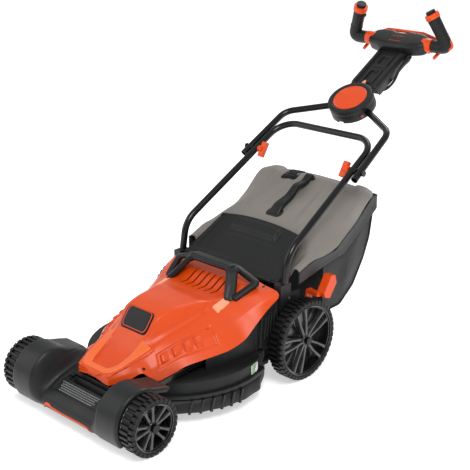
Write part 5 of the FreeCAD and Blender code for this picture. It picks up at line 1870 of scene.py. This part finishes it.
@dataclass
class SwivelStem:
    """Hub disc, swivelling stem with its rails and recessed panels, and the switch head."""

    disc: tuple = ((50.0, 13.8), (50.0, 16.9), (49.2, 17.9), (47.4, 18.3), (46.0, 17.9), (45.4, 17.1),
                   (44.6, 17.3), (38.0, 17.9), (20.0, 18.5), (0.4, 18.7))
    stem_half: float = 47.6
    stem_start: float = 52.0
    stem_end: float = 230.0
    head: tuple = ((-99, 38, 33, 0), (-95, 44, 38, 0), (-86, 55, 41, 2), (-72, 63, 43.5, 3), (-52, 69, 45, 5),
                   (-34, 70, 45, 5), (-18, 66, 45, 2), (0, 65, 45, 1), (18, 66, 45, 2), (34, 70, 45, 5),
                   (52, 69, 45, 5), (72, 63, 43.5, 3), (86, 55, 41, 2), (95, 44, 38, 0), (99, 38, 33, 0))
    head_front: float = 226.0
    head_middle: float = 9.0

    def build(self) -> None:
        """Build the disc, the stem cover and the head."""
        turn = np.linspace(0, 2 * math.pi, 96, endpoint=False)
        rows = [[(r * math.cos(a), r * math.sin(a), w) for a in turn] for r, w in self.disc]
        disc = handle_grid("hub_disc_moulding", rows, wrap_columns=True, caps=True, smooth_deg=50)
        tidy_normals(disc)
        dress(disc, ABS_ORANGE_TRIM)
        mount(disc, "stem", "hub_disc")
        self.groove()
        self.cover()
        self.pointer()
        self.switch_head()

    def groove(self) -> None:
        """Raised lip of the hub round the disc, and a joint line round the drum."""
        rows = []
        for r, w in ((66.9, 5.0), (66.9, 13.5), (65.6, 15.8), (63.5, 17.0), (56.0, 17.2), (52.5, 16.9),
                     (51.0, 15.2), (51.0, 14.0)):
            rows.append([(r * math.cos(a), r * math.sin(a), w)
                         for a in np.linspace(0, 2 * math.pi, 96, endpoint=False)])
        lip = handle_grid("hub_lip", rows, wrap_columns=True, smooth_deg=50)
        tidy_normals(lip)
        dress(lip, PP_SATIN)
        mount(lip, "stem")

    def relief(self, u: np.ndarray, v: np.ndarray) -> np.ndarray:
        """Height of the stem cover's rails, panels and ribs over its base.

        Args:
            u: distances across the stem.
            v: distances along it.

        Returns:
            The heights in millimetres.
        """
        a = np.abs(u)
        rail = ease(a, 31, 35) * (1 - ease(a, 43.5, 47))
        made = 6.5 * rail * ease(v, 60, 72) * (1 - ease(v, 214, 226))
        for start, end in ((76, 142), (152, 206)):
            pad = (1 - ease(a, 22, 24)) * ease(v, start, start + 3) * (1 - ease(v, end - 3, end))
            slot = (1 - ease(a, 13, 15)) * ease(v, start + 9, start + 12) * (1 - ease(v, end - 12, end - 9))
            made = made + 3.6 * pad - 5.0 * slot
        ribs = 0.5 + 0.5 * np.cos((v - 76) / 11.0 * 2 * math.pi)
        made = made + 1.6 * ribs ** 4 * (1 - ease(a, 28, 30)) * ease(a, 24, 26)
        return made

    def cover(self) -> None:
        """Moulded cover over the stem's top and sides."""
        us = np.concatenate([[-1.0] * 2, np.linspace(-1, 1, 120), [1.0] * 2])
        rows = []
        for v in np.linspace(self.stem_start, self.stem_end, 140):
            half = self.stem_half + 3.0 * float(ease(v, 200, 228)) - 1.5 * float(ease(v, 80, 60))
            u = us * half
            w = 7.0 + self.relief(u / half * 47.6, np.full(u.shape, v))
            w[0] = w[-1] = -23.0
            w[1] = w[-2] = 2.0
            u[1], u[-2] = -half - 0.6, half + 0.6
            if v < 66.5:
                w[0] = w[-1] = 1.0
            rows.append(np.column_stack([u, np.full(u.shape, v), w]))
        cover = handle_grid("stem_cover", rows, smooth_deg=45)
        thicken(cover, 2.0)
        settle(cover)
        dress(cover, PP_SATIN)
        mount(cover, "stem")

    def pointer(self) -> None:
        """Small pointer that marks the stem's straight position."""
        rows = []
        for scale, w in ((1.0, 9.0), (1.0, 14.6), (0.86, 15.4), (0.05, 15.4)):
            loop = [(-4.5, 66.5), (4.5, 66.5), (5.2, 70), (0.8, 82), (-0.8, 82), (-5.2, 70)]
            rows.append([(x * scale, 73 + (v - 73) * scale, w) for x, v in loop])
        mark = handle_grid("stem_pointer", rows, wrap_columns=True, caps=True, smooth_deg=30)
        tidy_normals(mark)
        dress(mark, PALE_ORANGE_HIGHLIGHT_AND_POINTER)
        mount(mark, "stem")

    def switch_head(self) -> None:
        """Rounded switch head with two lobes towards the user and a framed top plate."""
        stops = np.concatenate([np.linspace(-99, 99, 100)])
        table = smooth_table([row for row in self.head], stops)
        rows = []
        for u, (depth, height, rise) in zip(stops, table):
            for_end = self.head_front + max(0.0, abs(u) - 50) * 0.28
            middle = max(for_end + depth / 2, 266 - max(0.0, 99 - abs(u)) * 0.5)
            middle = 266 + (for_end + depth / 2 - 266) * float(1 - ease(abs(u), 84, 99))
            loop = rounded_box(depth, height, min(depth, height) * 0.30, 8)
            rows.append([(u, middle + a, self.head_middle + rise * 0.5 + b) for a, b in loop])
        head = handle_grid("switch_head", rows, wrap_columns=True, caps=True, smooth_deg=50)
        tidy_normals(head)
        dress(head, PP_SATIN)
        mount(head, "stem", "switch_box")
        outer = np.array([(-30, 0), (-22, -11), (22, -11), (30, 0), (22, 11), (-22, 11), (-30, 0)], float)
        rows = []
        for scale, w in ((1.0, 30.0), (1.0, 32.6), (0.92, 32.6), (0.90, 31.6)):
            rows.append([(a * scale, 256 + b * scale, w) for a, b in soft_polyline(outer, 60, 2.5)[:-1]])
        frame = handle_grid("head_plate_frame", rows, wrap_columns=True, smooth_deg=40)
        dress(frame, ABS_ORANGE_TRIM)
        mount(frame, "stem")
        rows = [[(a * s, 256 + b * s, w) for a, b in soft_polyline(outer, 60, 2.5)[:-1]]
                for s, w in ((0.93, 30.0), (0.91, 31.9), (0.5, 32.0), (0.03, 32.0))]
        plate = handle_grid("head_plate", rows, wrap_columns=True, caps=True, smooth_deg=40)
        tidy_normals(plate)
        dress(plate, GLOSS_BLACK)
        mount(plate, "stem")
        ridges = []
        for n in range(5):
            across, above = 66 + 6 * n, 26.5 - 0.6 * n
            ridges += both(sweep, "ridge", on_handle([(across, 236, above), (across, 284, above)]),
                           rounded_box(2.2, 2.2, 1.0, 3), up=HANDLE_UP, ends_mm=1, corner_mm=0)
        ribs = join("head_ribs", ridges)
        dress(ribs, PP_SATIN)
        mount(ribs, "stem")


@dataclass
class HandGrips:
    """Two upright grips with moulded seams, orange elbow inlays and flared rings."""

    corner: tuple = (168, 266, 12)
    top: tuple = (121, 291, 118)
    start_u: float = 117.0

    def build(self) -> None:
        """Build the grips, inlays and seams."""
        corner, top = np.array(self.corner, float), np.array(self.top, float)
        end = corner + (top - corner) * 0.80
        path = on_handle([(self.start_u, 266, 12), tuple(corner), tuple(end)])
        grips = both(sweep, "grip", path, rounded_box(36.5, 36.5, 18, 8), up=(0.0, 1.0, 0.25), ends_mm=2.5,
                     corner_mm=38, step_mm=2.5,
                     swell=lambda t: (1.0 + 0.05 * math.sin(t * math.pi * 2),
                                      1.0 + 0.04 * math.sin(t * 9)))
        grip = join("hand_grip_rubber", grips)
        dress(grip, RUBBER_GRIP)
        mount(grip, "stem", "hand_grips")
        rings = []
        for t, r in ((0.24, 18.9), (0.62, 18.9)):
            rings += both(self.band, path, t, r)
        bands = join("grip_bands", rings)
        dress(bands, NYLON_BLACK)
        mount(bands, "stem")
        out = on_handle([(147, 264, -3.0), (160, 265, -1.0), (178, 267, 12), (173, 270, 34)])
        inlays = join("elbow_inlays", both(sweep, "inlay", out, rounded_box(19, 8, 3.8, 5), up=(0.5, 0.2, -1),
                                           ends_mm=4, corner_mm=12))
        dress(inlays, ABS_ORANGE_TRIM)
        mount(inlays, "stem")

    def band(self, path: np.ndarray, share: float, radius: float) -> bpy.types.Object:
        """Thin raised seam round the grip.

        Args:
            path: the grip's line.
            share: place along it.
            radius: outer radius in millimetres.

        Returns:
            The band.
        """
        line = soft_polyline(path, 80, 38)
        k = int(share * 79)
        ahead = line[k + 1] - line[k - 1]
        ahead /= np.linalg.norm(ahead)
        return sweep("band", [line[k] - ahead * 1.4, line[k] + ahead * 1.4],
                     rounded_box(radius * 2, radius * 2, radius - 0.1, 10), up=(0.0, 1.0, 0.25), ends_mm=0.9,
                     step_mm=1.0, corner_mm=0)


@dataclass
class MainsLead:
    """Short lead from the strain relief to the plug parked under the stem."""

    route: tuple = ((57, 1165.6, 719.9), (57, 1149, 710), (56, 1138, 693), (52, 1129, 671), (39, 1117, 651),
                    (24, 1109, 643), (-8, 1107, 639.5), (-32, 1124, 648.5))
    diameter: float = 7.5

    def build(self) -> None:
        """Build the lead as one smooth line through its route."""
        data = bpy.data.curves.new("mains_lead", "CURVE")
        data.dimensions = "3D"
        spline = data.splines.new("NURBS")
        spline.points.add(len(self.route) - 1)
        for point, place in zip(spline.points, SITE.points(self.route)):
            point.co = (*place, 1.0)
        spline.order_u = 3
        spline.use_endpoint_u = True
        data.resolution_u = 24
        data.bevel_depth = self.diameter / 2 * MM
        data.bevel_resolution = 6
        data.use_fill_caps = True
        cord = bpy.data.objects.new("mains_lead", data)
        bpy.context.scene.collection.objects.link(cord)
        dress(cord, RUBBER_CORD)
        mount(cord, "stem", "lead")
        start = SITE.points(self.route[0])


# ---------------------------------------------------------------- deck dressing
@dataclass
class DeckBody:
    """Black deck pieces outside the hood: flared skirt, side towers and height-scale bars."""

    axis_y: float = 296.0
    skirt_face: float = 231.4
    scale_start_deg: float = 10.8

    def around(self, radius: float, degrees: np.ndarray) -> np.ndarray:
        """Points on a circle round the blade axis; 0 degrees points right, 90 rearwards."""
        a = np.radians(degrees)
        return np.column_stack([radius * np.cos(a), self.axis_y + radius * np.sin(a)])

    def build(self) -> None:
        """Build the deck's visible mouldings."""
        self.skirt()
        self.tower()
        self.scale_bars()

    def skirt(self) -> None:
        """Flared lower skirt with a rolled foot on both sides of the deck."""
        rows = []
        angles = np.linspace(-62, 24, 80)
        profile = [(229.2, 64), (236, 60), (240.5, 52), (242.5, 42), (243.5, 34), (242.5, 31),
                   (240, 32), (238, 44), (233, 55), (229.2, 59)]
        for t, deg in zip(np.linspace(0, 1, len(angles)), angles):
            fade = float(ease(t, 0.0, 0.12) * (1 - ease(t, 0.88, 1.0)))
            ring = []
            for r, z in profile:
                r = 229.2 + (r - 229.2) * (0.25 + 0.75 * fade)
                r += 1.2 * math.cos(math.radians(deg) * 24) * float(ease(r, 236, 242))
                x, y = self.around(r, np.array([deg]))[0]
                ring.append((x, y, z))
            rows.append(ring)
        grid = np.array(rows)
        parts = [grid_object("skirt", grid, wrap_columns=True, caps=True, smooth_deg=50)]
        twin = grid.copy()
        twin[..., 0] *= -1
        parts.append(grid_object("skirt", twin, wrap_columns=True, caps=True, smooth_deg=50))
        for part in parts:
            tidy_normals(part)
        skirt = join("deck_skirt_flare", parts)
        dress(skirt, PP_BLACK)
        mount(skirt, "deck")

    def tower(self) -> None:
        """Side tower in front of the rear wheel, with its stepped face and ribs."""
        parts = []
        outline = [(404, 112), (412, 196), (430, 214), (472, 226), (472, 150), (455, 120), (440, 100)]
        loop = soft_polyline(np.array(outline + [outline[0]], float), 70, 3.0)[:-1]
        centre = loop.mean(axis=0)
        rows = []
        for x, scale in ((176, 1.0), (188.5, 1.0), (191.5, 0.97), (192, 0.9), (190.5, 0.84), (190, 0.5),
                         (190, 0.03)):
            flat = centre + (loop - centre) * scale
            rows.append(np.column_stack([np.full(len(flat), x), flat]))
        grid = np.array(rows)
        for side in (1, -1):
            made = grid.copy()
            made[..., 0] *= side
            part = grid_object("tower", made, wrap_columns=True, caps=True, smooth_deg=40)
            tidy_normals(part)
            parts.append(part)
        for n in range(4):
            y = 422 + 11 * n
            parts += both(sweep, "rib", [(190.5, y, 132 + 6 * n), (190.5, y + 6, 190 + 4 * n)],
                          rounded_box(3.4, 5, 1.4, 3), up=(1, 0, 0), ends_mm=1.2, corner_mm=0)
        tower = join("deck_tower", parts)
        dress(tower, PP_BLACK)
        mount(tower, "deck")

    def scale_bars(self) -> None:
        """Green bars of the cutting-height scale on its pale plate."""
        low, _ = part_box("height_scale")
        parts = []
        for n in range(5):
            z = low.z / MM + 4 + n * 4.2
            rows = []
            for deg in np.linspace(self.scale_start_deg, self.scale_start_deg + 2.4 + 0.8 * n, 8):
                x, y = self.around(self.skirt_face, np.array([deg]))[0]
                out = np.array([math.cos(math.radians(deg)), math.sin(math.radians(deg))])
                rows.append([(x + out[0] * d, y + out[1] * d, z + h)
                             for d, h in ((0, 0), (0.8, 0.1), (0.8, 1.9), (0, 2.0))])
            part = grid_object("bar", np.array(rows), wrap_columns=True, caps=True)
            tidy_normals(part)
            parts.append(part)
        bars = join("height_scale_bars", parts)
        dress(bars, SCALE_GREEN)
        mount(bars, "deck")


# ---------------------------------------------------------------- studio
@dataclass
class Studio:
    """Floor, lights and camera."""

    lens: float = 81.5
    seat: tuple = (1.8349, -1.9971, 1.2871)
    tilt_deg: float = 70.43
    turn_deg: float = 43.72
    floor_half: int = 90

    def build(self) -> None:
        """Build the floor, the lights and the camera."""
        far = self.floor_half
        corners = np.array([(-far, -far, 0), (far, -far, 0), (far, far, 0), (-far, far, 0)])
        floor = new_object("floor", corners, [[0, 1, 2, 3]])
        dress(floor, PlainFloor())
        floor.location.z = -0.0005
        self.lamp("key", (1.6, -1.2, 2.6), (0, -0.1, 0.2), 1.3, 50)
        self.lamp("fill", (-2.2, -1.8, 1.7), (0, -0.1, 0.3), 2.2, 18)
        self.lamp("back", (-0.6, 2.4, 2.4), (0, 0.2, 0.4), 1.8, 32)
        bpy.context.scene.view_settings.view_transform = "Standard"
        world = bpy.data.worlds.new("studio")
        bpy.context.scene.world = world
        world.use_nodes = True
        world.node_tree.nodes["Background"].inputs["Color"].default_value = (1, 1, 1, 1)
        world.node_tree.nodes["Background"].inputs["Strength"].default_value = 0.6
        data = bpy.data.cameras.new("camera")
        data.lens, data.sensor_width = self.lens, 36.0
        camera = bpy.data.objects.new("camera", data)
        camera.location = self.seat
        camera.rotation_euler = (math.radians(self.tilt_deg), 0, math.radians(self.turn_deg))
        bpy.context.scene.collection.objects.link(camera)
        bpy.context.scene.camera = camera

    def lamp(self, name: str, seat: tuple, aim: tuple, size: float, watts: float) -> None:
        """Add one soft square lamp.

        Args:
            name: the lamp's name.
            seat: where it stands.
            aim: the point it shines on.
            size: length of its side.
            watts: its power.
        """
        data = bpy.data.lights.new(name, "AREA")
        data.size, data.energy = size, watts
        made = bpy.data.objects.new(name, data)
        made.location = seat
        made.rotation_euler = (Vector(aim) - Vector(seat)).to_track_quat("-Z", "Y").to_euler()
        bpy.context.scene.collection.objects.link(made)


# ---------------------------------------------------------------- frame parts
FRAME_FINISHES: dict = {
    "deck_black": (PP_BLACK, 1.6), "cowl_black": (PP_SATIN, 1.6), "comb_black": (PP_BLACK, 0.8),
    "hood_orange": (ABS_ORANGE, 1.0), "trim_orange": (ABS_ORANGE_TRIM, 0.8),
    "badge_black": (GLOSS_BLACK, 0.8), "scale_plate": (SCALE_PALE, 0.4),
    "motor_metal": (CAST_ALLOY, 1.0), "shaft_steel": (STEEL, 0.3),
    "blade_steel": (BLADE_COAT, 0.4), "fan_plastic": (NYLON_BLACK, 0.4), "tyre_black": (TYRE_BLACK, 1.0),
    "rim_black": (RIM_GLOSS, 0.8), "cap_grey": (GLOSS_BLACK, 0.8), "crank_steel": (TUBE_BLACK, 0.5),
    "lever_orange": (ABS_ORANGE_TRIM, 2.0), "handle_black": (NYLON_BLACK, 1.8), "flap_black": (PP_BLACK, 1.6),
    "bracket_black": (NYLON_BLACK, 2.0), "tube_black": (TUBE_BLACK, 0.0),
    "knob_orange": (ABS_ORANGE_TRIM, 1.8),
    "hub_black": (PP_SATIN, 2.0), "button_red": (BUTTON_RED, 0.6), "disc_orange": (ABS_ORANGE_TRIM, 1.0),
    "grip_black": (RUBBER_GRIP, 1.2), "bail_orange": (ABS_ORANGE_TRIM, 1.2), "cord_black": (RUBBER_CORD, 0.6),
    "plug_black": (RUBBER_CORD, 2.0), "bag_mesh": (BAG_NET, 2.0), "bag_rim": (RIM_GREY, 2.0),
    "bag_lid": (LID_GREY, 2.0), "bag_handle": (NYLON_BLACK, 2.0), "bag_window": (GLOSS_BLACK, 0.6),
    "screw_steel": (ZINC, 0.4),
}


NODE_FINISHES: dict = {
    "flap_pin": (TUBE_BLACK, 0.3), "flap_springs": (TUBE_BLACK, 0.3), "fold_bolts": (TUBE_BLACK, 0.5),
}


@dataclass
class FrameParts:
    """The frame's own nodes, dressed and softened at their corners."""

    nodes: dict
    slots: dict[str, str]

    def build(self) -> None:
        """Dress every node by its slot."""
        for name, node in self.nodes.items():
            known = self.slots.get(name, "")
            finish, corner = NODE_FINISHES.get(name) or FRAME_FINISHES.get(known, (PP_BLACK, 1.0))
            node.data.materials.clear()
            node.data.materials.append(WARDROBE.get(finish))
            if corner > 0:
                soften(node, corner, 3 if corner > 0.9 else 2)


SUBASSEMBLIES = (MotorHood, Wheels, FrontCowl, CarryHandle, RearFlap, GrassBag, SwivelStem, HandGrips,
                 MainsLead, DeckBody)


def main() -> None:
    """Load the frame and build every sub-assembly."""
    logging.basicConfig(level=logging.INFO, format="%(name)s %(message)s")
    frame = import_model()
    SITE.find()
    slots = {row["node"]: row["material_slot"] for row in frame["record"]["subparts"]}
    Studio().build()
    FrameParts(frame["nodes"], slots).build()
    for kind in SUBASSEMBLIES:
        kind().build()
        LOG.info("%s built", kind.__name__)
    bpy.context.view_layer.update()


if __name__ == "__main__":
    main()
